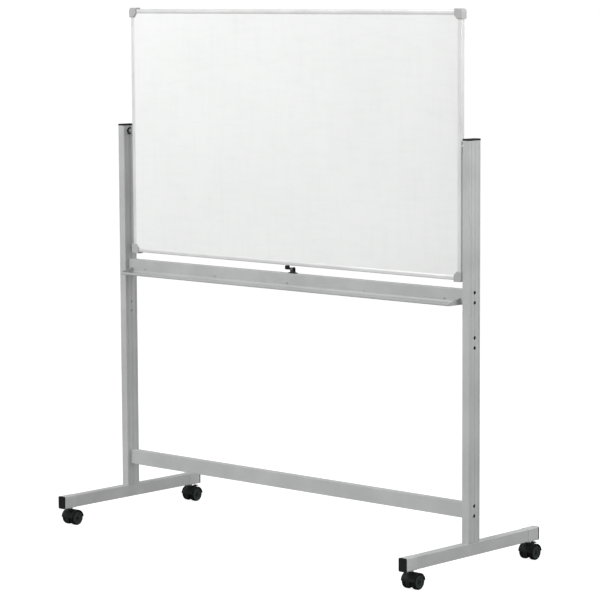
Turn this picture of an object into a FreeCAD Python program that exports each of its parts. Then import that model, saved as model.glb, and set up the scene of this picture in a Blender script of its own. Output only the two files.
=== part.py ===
import FreeCAD, Part
import math
import os
import Sketcher

# Mobile whiteboard: a double sided board that turns between two uprights on a castored stand.
#
# Frame: +X runs along the board, -Y is the front, +Z is up. The origin lies on the floor,
# under the middle of the object. Every size is a cell of the "Dimensions" sheet, in millimetres
# (angles in degrees), and every sub-part is bound to those cells by expressions.

Vector = FreeCAD.Vector

SIZES = [
    # board
    ("board_width", 1575, "outer width of the board's frame"),
    ("board_height", 900, "outer height of the board's frame"),
    ("board_thickness", 18, "front face to rear face of the frame"),
    ("frame_face", 16, "visible width of the frame profile"),
    ("frame_wall", 1.5, "wall of the frame profile"),
    ("frame_web", 1, "web between panel groove and hollow chamber"),
    ("panel_groove", 4.5, "depth at which the panel sits in the frame"),
    ("sheet_thickness", 0.5, "enamelled steel writing sheet"),
    ("cap_reach", 30, "length of a corner cap along each edge"),
    ("cap_bulge", 5, "how far a corner cap stands out past the frame's edges"),
    ("cap_wall", 4, "wall of a corner cap over the frame's faces"),
    ("cap_gap", 0.1, "clearance between a corner cap and the frame inside it"),
    ("cap_corner_radius", 11, "outer corner radius of a corner cap"),
    # heights and gaps
    ("pivot_height", 1444, "height of the board's turning axis"),
    ("side_gap", 22, "gap between the board's frame and each upright"),
    # uprights
    ("upright_width", 30, "upright, across X"),
    ("upright_depth", 60, "upright, across Y"),
    ("upright_wall", 2, "wall of the upright"),
    ("upright_rise", 20, "turning axis to the upright's open top end"),
    ("upright_corner", 2.5, "corner radius of the upright"),
    ("flute_width", 2.4, "width of a groove in the upright's side faces"),
    ("flute_depth", 0.7, "depth of a groove in the upright's side faces"),
    ("flute_pitch", 20, "spacing of those grooves"),
    ("top_cap_height", 6, "visible height of the upright's top cap"),
    ("top_cap_plug", 8, "depth of the top cap's plug inside the tube"),
    ("top_cap_overhang", 0.3, "how far the top cap stands out past the tube"),
    ("top_cap_round", 2, "rounding of the top cap's edges"),
    ("plug_gap", 0.1, "clearance between a plug and its tube"),
    # feet
    ("foot_length", 702, "length of a foot tube"),
    ("foot_height", 44, "height of a foot tube"),
    ("foot_wall", 2, "wall of a foot tube"),
    ("foot_corner", 3, "corner radius of a foot tube"),
    ("sleeve_length", 55, "length of the sleeve on each end of a foot"),
    ("sleeve_wall", 1, "wall of that sleeve"),
    ("foot_cap_flange", 5, "visible length of a foot's end cap"),
    ("foot_cap_plug", 12, "depth of that cap's plug"),
    # cross bars
    ("bar_height", 53, "height of both cross bars"),
    ("bar_depth", 25, "depth of both cross bars"),
    ("bar_wall", 1.5, "wall of both cross bars"),
    ("bar_corner", 2, "corner radius of both cross bars"),
    ("socket_length", 20, "end socket between a cross bar and an upright"),
    ("spigot_length", 25, "part of a socket inside its bar"),
    ("lower_bar_rise", 81.5, "top of the feet to the underside of the lower cross bar"),
    ("rail_gap", 27.5, "top of the upper cross bar to the board's lower edge"),
    # bolts through the uprights
    ("bolt_spacing", 34, "distance between the two bolts of a joint"),
    ("bolt_radius", 3, "bolt shank"),
    ("bolt_clearance", 0.3, "radial clearance of a bolt in its hole"),
    ("bolt_head_radius", 5.6, "bolt head"),
    ("bolt_head_height", 6, "bolt head"),
    ("bolt_reach", 18, "how far a bolt goes into its socket"),
    ("access_radius", 6.2, "access hole in the upright's outer wall"),
    ("spare_drop", 152, "how far the spare holes lie below the upper bar's bolts"),
    # foot joints
    ("base_plug_height", 40, "plug in the upright's lower end"),
    ("foot_bolt_radius", 4, "shank of the bolts that hold an upright on its foot"),
    ("foot_bolt_head_radius", 6.5, "head of those bolts"),
    ("foot_bolt_head_height", 8, "head of those bolts"),
    ("foot_bolt_pitch", 30, "distance between those bolts"),
    ("foot_bolt_reach", 26, "how far those bolts go into the base plug"),
    ("foot_access_radius", 8, "access hole under the foot"),
    # pivot
    ("shaft_radius", 6, "pivot shaft"),
    ("shaft_gap", 0.05, "running clearance of the shaft in its bush"),
    ("flange_radius", 19, "flange of the pivot shaft on the board's stile"),
    ("flange_thickness", 4, "flange of the pivot shaft"),
    ("shoulder_radius", 9, "shoulder between flange and bush"),
    ("bush_wall", 2, "wall of the bush in the upright"),
    ("bush_flange_radius", 13, "flange of the bush"),
    ("bush_flange_thickness", 3, "flange of the bush"),
    ("bush_depth", 4, "length of the bush inside the upright, wall included"),
    ("shoulder_gap", 0.3, "axial play between shoulder and bush"),
    ("shaft_reach", 15, "length of the shaft past the upright's inner face"),
    ("nut_radius", 9.5, "lock nut on the shaft, across its corners"),
    ("nut_length", 8, "lock nut on the shaft"),
    ("nut_gap", 0.4, "axial play between nut and bush"),
    ("pivot_screw_radius", 2, "screws of the shaft's flange"),
    ("pivot_screw_rise", 14, "those screws above and below the pivot"),
    ("pivot_screw_side", 4.5, "those screws before and behind the pivot"),
    ("pivot_screw_reach", 8, "length of those screws in the stile"),
    ("pivot_screw_head_radius", 3.5, "head of those screws"),
    ("pivot_screw_head_height", 2.2, "head of those screws"),
    # pen tray
    ("tray_depth", 63, "rail face to the tray's front"),
    ("tray_wall", 2, "wall of the tray"),
    ("tray_flange_height", 22, "height of the tray's back flange"),
    ("tray_lip_height", 10, "height of the tray's front lip"),
    ("tray_root_radius", 12, "hollow between the tray's floor and its flange"),
    ("tray_nose_radius", 4, "rounding of the tray's lower front edge"),
    ("tray_cap_thickness", 3, "end cap of the tray"),
    ("tray_screw_margin", 67.5, "board's side edge to the outermost of the tray's five screws"),
    ("tray_screw_radius", 2, "shank of the tray's screws"),
    ("tray_screw_head_radius", 3, "head of the tray's screws"),
    ("tray_screw_head_height", 1.8, "head of the tray's screws"),
    ("tray_screw_rise", 18, "height of the tray's screws above its underside"),
    ("tray_screw_reach", 8, "length of the tray's screws behind the flange"),
    # latch
    ("latch_pin_x", 14, "place of the latch pin along the board"),
    ("latch_pin_drop", 12, "height of the latch pin below the board's lower edge"),
    ("latch_pin_radius", 2.5, "latch pin"),
    ("latch_pin_gap", 0.05, "running clearance of the lever on its pin"),
    ("latch_ear_radius", 6, "half width and round top of the latch bracket's ears"),
    ("latch_plate", 2.5, "plate of the latch bracket"),
    ("latch_base_length", 34, "base of the latch bracket, along X"),
    ("lever_width", 10, "latch lever, across Y"),
    ("lever_side_gap", 0.3, "clearance of the lever between the ears"),
    ("lever_hub_radius", 5, "hub of the latch lever"),
    ("lever_arm_height", 7, "arm of the latch lever"),
    ("lever_reach", 34, "latch pin to the outer end of the hook"),
    ("hook_length", 15, "hook of the latch lever, along X"),
    ("hook_gap", 1.5, "play between the lowered hook and the board's lower edge"),
    ("hook_round", 1.5, "rounding of the lever's outer end"),
    ("keeper_gap", 2, "clearance round the hook in its keeper slot"),
    ("latch_screw_radius", 2, "screws of the latch bracket"),
    ("latch_screw_reach", 9, "length of those screws below the plate"),
    ("latch_screw_head_radius", 3.2, "head of those screws"),
    ("latch_screw_head_height", 2, "head of those screws"),
    ("latch_screw_inset", 4.5, "end of the plate to the screw's axis"),
    # castors
    ("castor_inset", 38, "foot tube's end to the swivel axis"),
    ("castor_trail", 12, "swivel axis to the wheel axle"),
    ("wheel_radius", 27, "castor wheel"),
    ("wheel_width", 19, "castor wheel"),
    ("wheel_inner_gap", 20, "gap between the twin wheels"),
    ("wheel_shoulder", 5, "rounding of the tread's edges"),
    ("wheel_shoulder_cut", 1.5, "corner that the tread's rounding leaves at its middle"),
    ("wheel_rim", 5, "flat ring between the tread's rounding and the dish"),
    ("wheel_dish_depth", 2.5, "depth of the dish in the wheel's outer face"),
    ("wheel_dish_slant", 1, "slope of the dish's walls"),
    ("wheel_hub_radius", 6.5, "hub in the middle of the dish"),
    ("axle_radius", 3, "castor axle"),
    ("axle_gap", 0.05, "running clearance of a wheel on its axle"),
    ("axle_end_gap", 1.5, "wheel's outer face to the end of the axle"),
    ("axle_play", 0.3, "play between the end of the axle and the wheel's hub"),
    ("hub_inset", 0.5, "hub below the wheel's outer face"),
    ("hood_gap", 1, "radial gap between the wheels and the hood"),
    ("hood_wall", 2, "wall of the hood over the wheels"),
    ("hood_web_width", 18, "web of the hood between the wheels"),
    ("hood_skirt_rise", 2, "lower edge of the hood above the axle"),
    ("hood_web_bottom", 12, "lower edge of the web above the floor"),
    ("boss_radius", 9.4, "boss of the hood round the swivel pin"),
    ("boss_rise", 4.7, "top of the boss above the hood"),
    ("boss_start", 5, "lower end of the boss above the axle's height"),
    ("stem_pin_radius", 4.5, "swivel pin"),
    ("stem_pin_gap", 0.05, "running clearance of the swivel pin in the boss"),
    ("stem_pin_length", 24, "swivel pin below its collar"),
    ("stem_collar_radius", 9, "collar of the stem, under the foot"),
    ("stem_collar_height", 3, "collar of the stem, under the foot"),
    ("stem_collar_gap", 0.3, "play between the collar and the hood's boss"),
    ("stem_thread_radius", 5, "threaded stem inside the foot"),
    ("stem_thread_end", 3, "threaded stem past its nut"),
    ("stem_nut_height", 6, "nut on the threaded stem"),
    ("stem_nut_radius", 8.5, "nut on the threaded stem, across its corners"),
    # brake
    ("brake_pin_out", 6.2, "brake pin behind the axle"),
    ("brake_pin_drop", 7.3, "brake pin below the top of the hood"),
    ("brake_pin_radius", 1.5, "brake pin"),
    ("brake_pin_gap", 0.05, "running clearance of the lever on the brake pin"),
    ("brake_tongue_width", 10, "tongue of the brake lever, across X"),
    ("brake_slot_gap", 0.3, "clearance of the tongue in the hood's slot"),
    ("brake_hub_gap", 1.2, "clearance of the lever's hub over the slot's floor and before it"),
    ("brake_hub_radius", 4, "hub of the brake lever"),
    ("brake_tongue_length", 12, "brake pin to the end of the tongue"),
    ("brake_pad_width", 18, "pedal of the brake lever, across X"),
    ("brake_pad_start", 9, "brake pin to the pedal's inner edge"),
    ("brake_pad_end", 21, "brake pin to the pedal's outer edge"),
    ("brake_pad_bottom", 5, "underside of the pedal above the brake pin"),
    ("brake_pad_thickness", 3.5, "pedal of the brake lever"),
    # all joints
    ("screw_slack", 0.1, "radial slack between a screw's shank and its hole"),
    ("over", 1, "overshoot of a cutting shape past the material"),
]

document = FreeCAD.newDocument("RollingWhiteboard")
sheet = document.addObject("Spreadsheet::Sheet", "Dimensions")
for row, (alias, value, meaning) in enumerate(SIZES, start=1):
    sheet.set("A%d" % row, meaning)
    sheet.set("B%d" % row, str(value))
    sheet.setAlias("B%d" % row, alias)
document.recompute()

ALIASES = sorted((alias for alias, value, meaning in SIZES), key=len, reverse=True)
NODES = []


def cells(text):
    """Turn plain alias words into references to the Dimensions sheet."""
    words = []
    word = ""
    for letter in text + " ":
        if letter.isalnum() or letter in "_.":
            word += letter
            continue
        words.append("Dimensions." + word if word in ALIASES else word)
        words.append(letter)
        word = ""
    return "".join(words).strip()


def amount(text):
    """Value of an expression in the sheet's words, as a number."""
    return float(sheet.evalExpression(cells(text)))


def bind(thing, **expressions):
    """Bind properties to expressions; an underscore pair in a name stands for a dot."""
    for name, text in expressions.items():
        thing.setExpression(name.replace("__", "."), cells(text))


def place(thing, x="0", y="0", z="0", turn=None):
    """Put an object at bound coordinates, with an optional fixed turn."""
    if turn is not None:
        thing.Placement = FreeCAD.Placement(Vector(0, 0, 0), turn)
    bind(thing, Placement__Base__x=x, Placement__Base__y=y, Placement__Base__z=z)
    return thing


def node(thing, label):
    """Register an object as a finished sub-part under its name."""
    thing.Label = label
    NODES.append(thing)
    return thing


TO_X = FreeCAD.Rotation(Vector(0, 1, 0), 90)
TO_MINUS_X = FreeCAD.Rotation(Vector(0, 1, 0), -90)
TO_MINUS_Y = FreeCAD.Rotation(Vector(1, 0, 0), 90)
TO_MINUS_Z = FreeCAD.Rotation(Vector(1, 0, 0), 180)
HALF_TURN = FreeCAD.Rotation(Vector(0, 0, 1), 180)


# ---------------------------------------------------------------- sketches and bodies

def new_body(name):
    return document.addObject("PartDesign::Body", name)


def new_sketch(body, role, lift="0"):
    """A sketch on one of the body's own origin planes, raised along its normal."""
    plane = [item for item in body.Origin.OriginFeatures if item.Role == role][0]
    sketch = body.newObject("Sketcher::SketchObject", "Sketch")
    sketch.AttachmentSupport = (plane, [""])
    sketch.MapMode = "FlatFace"
    bind(sketch, AttachmentOffset__Base__z=lift)
    return sketch


def pin_point(sketch, geometry, position, x, y):
    """Hold a point of the sketch at bound coordinates."""
    for kind, text in (("DistanceX", x), ("DistanceY", y)):
        rule = Sketcher.Constraint(kind, -1, 1, geometry, position, amount(text))
        index = sketch.addConstraint(rule)
        sketch.setExpression("Constraints[%d]" % index, cells(text))


def polygon(sketch, corners):
    """A closed outline through the given corners, each a pair of expressions."""
    first = sketch.GeometryCount
    count = len(corners)
    points = [Vector(amount(x), amount(y), 0) for x, y in corners]
    for index in range(count):
        sketch.addGeometry(Part.LineSegment(points[index], points[(index + 1) % count]), False)
    for index in range(count):
        rule = Sketcher.Constraint("Coincident", first + index, 2, first + (index + 1) % count, 1)
        sketch.addConstraint(rule)
    for index, (x, y) in enumerate(corners):
        pin_point(sketch, first + index, 1, x, y)


def rectangle(sketch, left, bottom, right, top):
    polygon(sketch, [(left, bottom), (right, bottom), (right, top), (left, top)])


def circle(sketch, x, y, radius):
    centre = Vector(amount(x), amount(y), 0)
    index = sketch.addGeometry(Part.Circle(centre, Vector(0, 0, 1), amount(radius)), False)
    pin_point(sketch, index, 3, x, y)
    rule = sketch.addConstraint(Sketcher.Constraint("Radius", index, amount(radius)))
    sketch.setExpression("Constraints[%d]" % rule, cells(radius))


def pad(body, sketch, length, symmetric=False):
    feature = body.newObject("PartDesign::Pad", "Pad")
    feature.Profile = sketch
    feature.SideType = "Symmetric" if symmetric else "One side"
    bind(feature, Length=length)
    document.recompute()
    return feature


def pocket(body, sketch, length, symmetric=False, reverse=False):
    """Cut the sketch along its normal's far side, or both ways when symmetric."""
    before = body.Tip.Shape.Volume
    feature = body.newObject("PartDesign::Pocket", "Pocket")
    feature.Profile = sketch
    feature.SideType = "Symmetric" if symmetric else "One side"
    feature.Reversed = reverse
    bind(feature, Length=length)
    document.recompute()
    if feature.Shape.Volume >= before:
        raise RuntimeError("the pocket in %s cuts nothing" % body.Name)
    return feature


def revolve(body, sketch, axis):
    feature = body.newObject("PartDesign::Revolution", "Revolution")
    feature.Profile = sketch
    feature.ReferenceAxis = (sketch, [axis])
    feature.Angle = 360
    document.recompute()
    return feature


def fillet(body, wanted, radius):
    """Round the edges of the body's tip whose ends and middle pass the test."""
    base = body.Tip
    names = []
    for index, edge in enumerate(base.Shape.Edges, start=1):
        if wanted(edge):
            names.append("Edge%d" % index)
    if not names:
        raise RuntimeError("no edge to round on %s" % body.Name)
    feature = body.newObject("PartDesign::Fillet", "Fillet")
    feature.Base = (base, names)
    bind(feature, Radius=radius)
    document.recompute()
    return feature


def runs_along(edge, axis):
    """True for a straight edge parallel to the axis."""
    if len(edge.Vertexes) != 2:
        return False
    span = edge.Vertexes[1].Point - edge.Vertexes[0].Point
    straight = abs(span.Length - edge.Length) < 0.001
    return straight and span.Length > 0.001 and abs(span.dot(axis)) > 0.999 * span.Length


def near(value, text, slack=0.01):
    return abs(value - amount(text)) < slack


X_AXIS = Vector(1, 0, 0)
Y_AXIS = Vector(0, 1, 0)
Z_AXIS = Vector(0, 0, 1)


def off_axis(edge, axis):
    """Distance of an edge's middle from the body's own axis."""
    middle = edge.CenterOfMass
    return (middle - axis * middle.dot(axis)).Length


def centred(sketch, half_u, half_v):
    """A rectangle round the sketch's origin, given by its half sizes."""
    rectangle(sketch, "-" + half_u, "-" + half_v, half_u, half_v)


def round_corners(body, role, half_u, half_v, radius):
    """Round the four lengthwise edges that a centred rectangle has left."""
    axis = {"XY_Plane": Z_AXIS, "XZ_Plane": Y_AXIS, "YZ_Plane": X_AXIS}[role]
    distance = math.hypot(amount(half_u), amount(half_v))
    fillet(body, lambda edge: runs_along(edge, axis) and abs(off_axis(edge, axis) - distance) < 0.001,
           radius)


def tube(label, role, half_u, half_v, wall, corner, length):
    """A rectangular tube on an origin plane, centred, with rounded corners of even wall."""
    body = new_body(label)
    outer = new_sketch(body, role)
    centred(outer, half_u, half_v)
    pad(body, outer, length, symmetric=True)
    inner_u = "(%s - %s)" % (half_u, wall)
    inner_v = "(%s - %s)" % (half_v, wall)
    inner = new_sketch(body, role)
    centred(inner, inner_u, inner_v)
    pocket(body, inner, "(%s) * 2" % length, symmetric=True)
    round_corners(body, role, inner_u, inner_v, "%s - %s" % (corner, wall))
    round_corners(body, role, half_u, half_v, corner)
    return body


def plug(body, role, half_u, half_v, corner, length, lift):
    """Add a centred block with rounded lengthwise edges to a body."""
    section = new_sketch(body, role, lift)
    centred(section, half_u, half_v)
    pad(body, section, length)
    round_corners(body, role, half_u, half_v, corner)


# ---------------------------------------------------------------- Part primitives

def box(length, width, height, x, y, z):
    """A block centred on x and y, standing on z."""
    thing = document.addObject("Part::Box", "Block")
    bind(thing, Length=length, Width=width, Height=height)
    place(thing, "%s - (%s) / 2" % (x, length), "%s - (%s) / 2" % (y, width), z)
    return thing


def rod(radius, length, x="0", y="0", z="0", turn=None):
    """A cylinder from its base point along +Z, or along the turned axis."""
    thing = document.addObject("Part::Cylinder", "Rod")
    bind(thing, Radius=radius, Height=length)
    place(thing, x, y, z, turn)
    return thing


def hexagon(radius, length):
    """A six sided prism along +Z; the radius is across its corners."""
    thing = document.addObject("Part::Prism", "Hexagon")
    thing.Polygon = 6
    bind(thing, Circumradius=radius, Height=length)
    return thing


def fuse(*things):
    joined = document.addObject("Part::MultiFuse", "Joined")
    joined.Shapes = list(things)
    joined.Refine = True
    return joined


def cut(base, *tools):
    """The base with every tool taken away."""
    result = base
    for tool in tools:
        step = document.addObject("Part::Cut", "Trimmed")
        step.Base = result
        step.Tool = tool
        result = step
    return result


def group(label, things):
    """Identical loose pieces that share one node."""
    bundle = document.addObject("Part::Compound", label)
    bundle.Links = things
    return node(bundle, label)


def screw(head_radius, head_height, shank_radius, shank_length, x, y, z, turn):
    """A screw whose head stands on the given point; the shank runs back from it."""
    head = rod(head_radius, head_height)
    shank = rod(shank_radius, "%s + 0.5 * %s" % (shank_length, head_height), z="-(%s)" % shank_length)
    return place(fuse(head, shank), x, y, z, turn)


# ---------------------------------------------------------------- derived positions

HALF_BOARD = "board_width / 2"
UPRIGHT_INNER = "(board_width / 2 + side_gap)"
UPRIGHT_CENTRE = "(board_width / 2 + side_gap + upright_width / 2)"
HOOD_RADIUS = "(wheel_radius + hood_gap + hood_wall)"
BOSS_TOP = "(2 * wheel_radius + hood_gap + hood_wall + boss_rise)"
SLEEVE_BOTTOM = "(%s + stem_collar_gap + stem_collar_height)" % BOSS_TOP
FOOT_TOP = "(%s + sleeve_wall + foot_height)" % SLEEVE_BOTTOM
FOOT_MIDDLE = "(%s + sleeve_wall + foot_height / 2)" % SLEEVE_BOTTOM
UPRIGHT_TOP = "(pivot_height + upright_rise)"
BOARD_BOTTOM = "(pivot_height - board_height / 2)"
UPPER_RAIL_TOP = "(%s - rail_gap)" % BOARD_BOTTOM
UPPER_RAIL_BOTTOM = "(%s - rail_gap - bar_height)" % BOARD_BOTTOM
LOWER_BAR_BOTTOM = "(%s + lower_bar_rise)" % FOOT_TOP
UPPER_BOLT_HEIGHT = "(%s + bar_height / 2)" % UPPER_RAIL_BOTTOM
LOWER_BOLT_HEIGHT = "(%s + bar_height / 2)" % LOWER_BAR_BOTTOM
SPARE_BOLT_HEIGHT = "(%s - spare_drop)" % UPPER_BOLT_HEIGHT
RAIL_FRONT = "(-bar_depth / 2)"
LATCH_PIN_HEIGHT = "(%s - latch_pin_drop)" % BOARD_BOTTOM
CASTOR_Y = "(foot_length / 2 - castor_inset)"
BRAKE_PIN_HEIGHT = "(wheel_radius + %s - brake_pin_drop)" % HOOD_RADIUS
SIDES = (("left", -1), ("right", 1))
ENDS = (("front", -1), ("rear", 1))


# ---------------------------------------------------------------- board

def frame_member(label, length, keeper=False):
    """A frame extrusion along X with its outer edge down at z = 0 and the panel groove on top."""
    body = new_body(label)
    outer = new_sketch(body, "YZ_Plane")
    rectangle(outer, "-board_thickness / 2", "0", "board_thickness / 2", "frame_face")
    pad(body, outer, length, symmetric=True)
    fillet(body, lambda edge: runs_along(edge, X_AXIS) and edge.BoundBox.ZMax < 1, "frame_wall")
    hollow = new_sketch(body, "YZ_Plane")
    inside = "board_thickness / 2 - frame_wall"
    rectangle(hollow, "-(%s)" % inside, "frame_face - panel_groove", inside, "frame_face + over")
    rectangle(hollow, "-(%s)" % inside, "frame_wall", inside, "frame_face - panel_groove - frame_web")
    pocket(body, hollow, "(%s) * 2" % length, symmetric=True)
    if keeper:
        slot = new_sketch(body, "XY_Plane", "frame_wall + over")
        rectangle(slot, "latch_pin_x - lever_reach - keeper_gap", "-lever_width / 2 - keeper_gap / 2",
                  "latch_pin_x - lever_reach + hook_length + 3 * keeper_gap",
                  "lever_width / 2 + keeper_gap / 2")
        pocket(body, slot, "frame_wall + 2 * over")
    return body


def pivot_screw_places():
    """Places of a flange's four screws from its middle: along the stile, and across it."""
    return [("%d * pivot_screw_rise" % up, "%d * pivot_screw_side" % back)
            for up in (-1, 1) for back in (-1, 1)]


def make_frame():
    """Two long rails with keeper slots, and two stiles that stand between them."""
    bottom = frame_member("frame_rail_bottom", "board_width", keeper=True)
    place(bottom, z=BOARD_BOTTOM)
    node(bottom, "frame_rail_bottom")
    top = frame_member("frame_rail_top", "board_width", keeper=True)
    place(top, z="pivot_height + board_height / 2", turn=FreeCAD.Rotation(X_AXIS, 180))
    node(top, "frame_rail_top")
    for side, sign in SIDES:
        stile = frame_member("frame_stile_" + side, "board_height - 2 * frame_face")
        holes = new_sketch(stile, "XY_Plane", "frame_wall + over")
        for rise, beside in pivot_screw_places():
            circle(holes, rise, beside, "pivot_screw_radius")
        pocket(stile, holes, "frame_wall + 2 * over")
        # the member's +Z (inwards) turns to point at the board's middle
        turn = FreeCAD.Rotation(Y_AXIS, -90 * sign)
        place(stile, "%d * %s" % (sign, HALF_BOARD), z="pivot_height", turn=turn)
        node(stile, "frame_stile_" + side)


def make_panel():
    """Honeycomb core with an enamelled steel sheet on each face."""
    width = "board_width - 2 * (frame_face - panel_groove)"
    height = "board_height - 2 * (frame_face - panel_groove)"
    base = "%s + frame_face - panel_groove" % BOARD_BOTTOM
    core_depth = "board_thickness - 2 * frame_wall - 2 * sheet_thickness"
    node(box(width, core_depth, height, "0", "0", base), "core_panel")
    shift = "(%s + sheet_thickness) / 2" % core_depth
    node(box(width, "sheet_thickness", height, "0", "-(%s)" % shift, base), "front_writing_sheet")
    node(box(width, "sheet_thickness", height, "0", shift, base), "rear_writing_sheet")


def corner_cap(label):
    """Moulded cover over a frame corner at the local origin, its arms along -X and -Z."""
    body = new_body(label)
    outline = new_sketch(body, "XZ_Plane")
    reach = "-cap_reach"
    arm = "-frame_face - cap_gap - over"
    polygon(outline, [("cap_bulge", "cap_bulge"), (reach, "cap_bulge"), (reach, arm),
                      (arm, reach), ("cap_bulge", reach)])
    pad(body, outline, "board_thickness + 2 * cap_wall", symmetric=True)
    fillet(body, lambda edge: runs_along(edge, Y_AXIS) and near(edge.BoundBox.XMax, "cap_bulge")
           and near(edge.BoundBox.ZMax, "cap_bulge"), "cap_corner_radius")
    fillet(body, lambda edge: abs(edge.BoundBox.YMin - edge.BoundBox.YMax) < 0.01, "cap_wall / 2")
    inside = new_sketch(body, "XZ_Plane")
    rectangle(inside, "-cap_reach - cap_bulge", "-cap_reach - cap_bulge", "cap_gap", "cap_gap")
    pocket(body, inside, "board_thickness + 2 * cap_gap", symmetric=True)
    return body


def make_corner_caps():
    """One cap on each frame corner, turned so that its arms run along the edges."""
    for level, up in (("bottom", -1), ("top", 1)):
        for side, sign in SIDES:
            label = "corner_cap_%s_%s" % (level, side)
            cap = corner_cap(label)
            quarter = {(1, 1): 0, (1, -1): 90, (-1, -1): 180, (-1, 1): 270}[(sign, up)]
            place(cap, "%d * %s" % (sign, HALF_BOARD), "0",
                  "pivot_height + %d * board_height / 2" % up, FreeCAD.Rotation(Y_AXIS, quarter))
            node(cap, label)


def make_pivots():
    """Flanged shafts on the stiles, running in bushes in the uprights, with lock nuts inside."""
    shoulder = "side_gap - flange_thickness - bush_flange_thickness - shoulder_gap"
    nuts = []
    bushes = []
    screws = []
    for side, sign in SIDES:
        outwards = TO_X if sign > 0 else TO_MINUS_X
        plate = rod("flange_radius", "flange_thickness")
        trimmed = document.addObject("Part::Common", "FlangeOnStile")
        trimmed.Base = plate
        trimmed.Tool = box("2 * flange_radius + over", "board_thickness", "flange_thickness", "0", "0", "0")
        step = rod("shoulder_radius", shoulder, z="flange_thickness")
        shaft = rod("shaft_radius", "side_gap + shaft_reach")
        solid = fuse(trimmed, step, shaft)
        holes = []
        for rise, beside in pivot_screw_places():
            holes.append(rod("pivot_screw_radius + screw_slack", "flange_thickness + 2 * over", rise,
                             beside, "-over"))
            place_x = "%d * (board_width / 2 + flange_thickness)" % sign
            screws.append(screw("pivot_screw_head_radius", "pivot_screw_head_height",
                                "pivot_screw_radius - screw_slack", "flange_thickness + pivot_screw_reach",
                                place_x, beside, "pivot_height + " + rise, outwards))
        pivot = place(cut(solid, *holes), "%d * %s" % (sign, HALF_BOARD), "0", "pivot_height", outwards)
        node(pivot, "pivot_shaft_" + side)

        sleeve = fuse(rod("bush_flange_radius", "bush_flange_thickness", z="-bush_flange_thickness"),
                      rod("shaft_radius + shaft_gap + bush_wall", "bush_depth"))
        bore = rod("shaft_radius + shaft_gap", "bush_flange_thickness + bush_depth + 2 * over",
                   z="-bush_flange_thickness - over")
        bushes.append(place(cut(sleeve, bore), "%d * %s" % (sign, UPRIGHT_INNER), "0",
                            "pivot_height", outwards))
        nut = cut(hexagon("nut_radius", "nut_length"),
                  rod("shaft_radius", "nut_length + 2 * over", z="-over"))
        nuts.append(place(nut, "%d * (%s + bush_depth + nut_gap)" % (sign, UPRIGHT_INNER), "0",
                          "pivot_height", outwards))
    group("pivot_bushes", bushes)
    group("pivot_nuts", nuts)
    group("pivot_screws", screws)


# ---------------------------------------------------------------- stand

def make_uprights():
    """Fluted tubes; the inner wall is drilled for bolts, the outer wall for reaching them."""
    height = "(%s - %s)" % (UPRIGHT_TOP, FOOT_TOP)
    middle = "(%s + %s) / 2" % (UPRIGHT_TOP, FOOT_TOP)
    half_x = "(upright_width / 2)"
    half_y = "(upright_depth / 2)"
    for side, sign in SIDES:
        label = "upright_" + side
        body = tube(label, "XY_Plane", half_x, half_y, "upright_wall", "upright_corner", height)
        flutes = new_sketch(body, "XY_Plane")
        for face in (-1, 1):
            for step in (-1, 0, 1):
                ends = sorted(("%d * upright_width / 2 - %d * flute_depth" % (face, face),
                               "%d * (upright_width / 2 + over)" % face), key=amount)
                rectangle(flutes, ends[0], "%d * flute_pitch - flute_width / 2" % step,
                          ends[1], "%d * flute_pitch + flute_width / 2" % step)
        pocket(body, flutes, "2 * " + height, symmetric=True)
        # heights below are measured from the tube's middle
        inner = new_sketch(body, "YZ_Plane")
        outer = new_sketch(body, "YZ_Plane")
        for level in (UPPER_BOLT_HEIGHT, LOWER_BOLT_HEIGHT, SPARE_BOLT_HEIGHT):
            for step in (-1, 1):
                rise = "%s - %s + %d * bolt_spacing / 2" % (level, middle, step)
                circle(inner, "0", rise, "bolt_radius + bolt_clearance")
                circle(outer, "0", rise, "access_radius")
        circle(inner, "0", "pivot_height - " + middle, "shaft_radius + shaft_gap + bush_wall")
        pocket(body, inner, "upright_width / 2 + over")
        pocket(body, outer, "upright_width / 2 + over", reverse=True)
        turn = HALF_TURN if sign < 0 else FreeCAD.Rotation()
        place(body, "%d * %s" % (sign, UPRIGHT_CENTRE), "0", middle, turn)
        node(body, label)

        cap = new_body("upright_cap_" + side)
        head = new_sketch(cap, "XY_Plane")
        centred(head, "(upright_width / 2 + top_cap_overhang)", "(upright_depth / 2 + top_cap_overhang)")
        pad(cap, head, "top_cap_height")
        fillet(cap, lambda edge: edge.BoundBox.ZMax > amount("top_cap_height") - 0.01, "top_cap_round")
        plug(cap, "XY_Plane", "(upright_width / 2 - upright_wall - plug_gap)",
             "(upright_depth / 2 - upright_wall - plug_gap)", "upright_corner - upright_wall",
             "top_cap_plug", "-top_cap_plug")
        place(cap, "%d * %s" % (sign, UPRIGHT_CENTRE), "0", UPRIGHT_TOP)
        node(cap, "upright_cap_" + side)


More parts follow.
